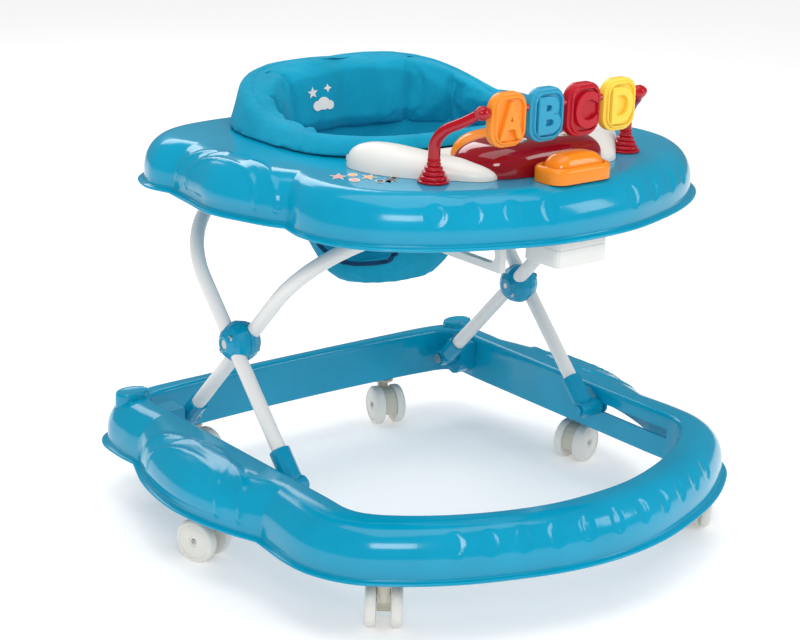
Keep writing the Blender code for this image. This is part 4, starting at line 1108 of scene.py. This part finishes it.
# half a bead's thickness from its middle outwards, and how far its outline is drawn in there
beadProfile = ((0, 0), (0.0030, 0), (0.0042, 0.0004), (0.0050, 0.0016), (0.0050, 0.0030), (0.0056, 0.0034),
               (0.0070, 0.0036), (0.0076, 0.0042), (0.0076, 0.0054), (0.0070, 0.0058), (0.0048, 0.0060))


def makeBeads():
    s = toyBar
    w, _, h = s["bead"]
    for k, letter in enumerate("ABCD"):
        x0, y0, z0 = (k - 1.5) * s["pitch"], s["rodY"], s["rodZ"] - s["drop"]
        outer = roundedPlan(w, h, 0.0165, 0, 0, 10)
        bm = bmesh.new()
        for side in (-1, 1):
            rings = []
            for y, inset in beadProfile:
                loop = insetLoop(outer, inset)
                rings.append([(x0 + u, y0 + side * y, z0 + v) for u, v in loop])
            skin(rings, bm=bm)
        bead = addMesh(f"toyBead_{k + 1}", bm, beadPaints[k], f"bead_{k + 1}", 35, [f"letter_bead_{k + 1}"])
        for side, face in ((-1, "front"), (1, "back")):
            text = bpy.data.curves.new(f"glyph{letter}", "FONT")
            text.body = letter
            text.align_x = "CENTER"
            text.align_y = "CENTER"
            text.size = 0.044
            text.offset = 0.0012
            text.extrude = 0.0020
            text.bevel_depth = 0.0006
            text.bevel_resolution = 2
            text.resolution_u = 6
            holder = bpy.data.objects.new("glyphHolder", text)
            bpy.context.scene.collection.objects.link(holder)
            mesh = baked(holder)
            bpy.data.objects.remove(holder, do_unlink=True)
            xs = [v.co.x for v in mesh.vertices]
            ys = [v.co.y for v in mesh.vertices]
            mx, my = (min(xs) + max(xs)) / 2, (min(ys) + max(ys)) / 2
            stretch = s["letterHeight"] / (max(ys) - min(ys))
            wide = min(s["letterWidth"] / (max(xs) - min(xs)), stretch * 1.2)
            for v in mesh.vertices:
                u, t, up = (v.co.x - mx) * wide, (v.co.y - my) * stretch, v.co.z
                v.co = (x0 - side * u, y0 + side * (s["letterOut"] + up), z0 + t)
            glyph = addPiece(f"beadLetter_{letter}_{face}", mesh, beadPaints[k], f"bead_{k + 1}", 35)


makeConsole()
makePosts()
makeBeads()
print("toys done")


# light, floor, camera
airGlow = {"seen": 0.85, "matte": 0.60, "rest": 0.17}  # for the camera, for dull bounces, for all


def makeStage():
    bpy.ops.mesh.primitive_plane_add(size=9, location=(0, 0, 0))
    floor = bpy.context.object
    floor.name = "studioFloor"
    mat, shader, at = newMaterial("paleFloor", {"Roughness": 0.9, "Emission Strength": 0.2,
                                                "Specular IOR Level": 0.2})
    shader.inputs["Emission Color"].default_value = rgb(1, 1, 1)
    feed(mat, shader, Base_Color=cloudy(at, 1.5).blend(rgb(0.90, 0.90, 0.90), rgb(0.93, 0.93, 0.93)))
    floor.data.materials.append(mat)
    world = bpy.data.worlds.new("studioAir")
    bpy.context.scene.world = world
    world.use_nodes = True
    air = Wire(world.node_tree, world.node_tree.nodes["Background"].inputs[1])
    seen = air.node("LightPath")
    world.node_tree.nodes["Background"].inputs[0].default_value = (1, 1, 1, 1)
    matte = Wire(world.node_tree, seen.socket.node.outputs["Is Diffuse Ray"])
    glow = seen * airGlow["seen"] + matte * airGlow["matte"] + airGlow["rest"]
    world.node_tree.links.new(glow.socket, air.socket)
    lamps = {"key": ((-1.5, -1.9, 1.7), 0.9, 0.7, 17), "fill": ((1.6, -1.9, 1.3), 0.7, 1.0, 9),
             "rim": ((0.5, 2.1, 1.8), 1.6, 0.9, 14), "top": ((0.0, -0.1, 2.4), 1.8, 1.8, 16)}
    for name, (at, sx, sy, watts) in lamps.items():
        data = bpy.data.lights.new(name, "AREA")
        data.shape = "RECTANGLE"
        data.size = sx
        data.size_y = sy
        data.energy = watts
        lamp = bpy.data.objects.new(name, data)
        bpy.context.scene.collection.objects.link(lamp)
        lamp.location = at
        lamp.rotation_euler = (Vector((0, 0, 0.25)) - Vector(at)).to_track_quat("-Z", "Y").to_euler()


def makeCamera():
    view = {"azimuth": -38.86, "elevation": 17.86, "distance": 2.2501, "lens": 90.0, "roll": 1.84,
            "target": (0.0, 0.073, 0.2137)}
    a, e = math.radians(view["azimuth"]), math.radians(view["elevation"])
    back = Vector((math.sin(a) * math.cos(e), -math.cos(a) * math.cos(e), math.sin(e)))
    data = bpy.data.cameras.new("studioCamera")
    data.lens = view["lens"]
    data.sensor_width = 36
    cam = bpy.data.objects.new("studioCamera", data)
    bpy.context.scene.collection.objects.link(cam)
    turn = back.to_track_quat("Z", "Y").to_matrix() @ Matrix.Rotation(math.radians(view["roll"]), 3, "Z")
    cam.matrix_world = Matrix.Translation(Vector(view["target"]) + back * view["distance"]) @ turn.to_4x4()
    bpy.context.scene.camera = cam
    bpy.context.scene.view_settings.view_transform = "Standard"


makeStage()
makeCamera()
print("stage done")
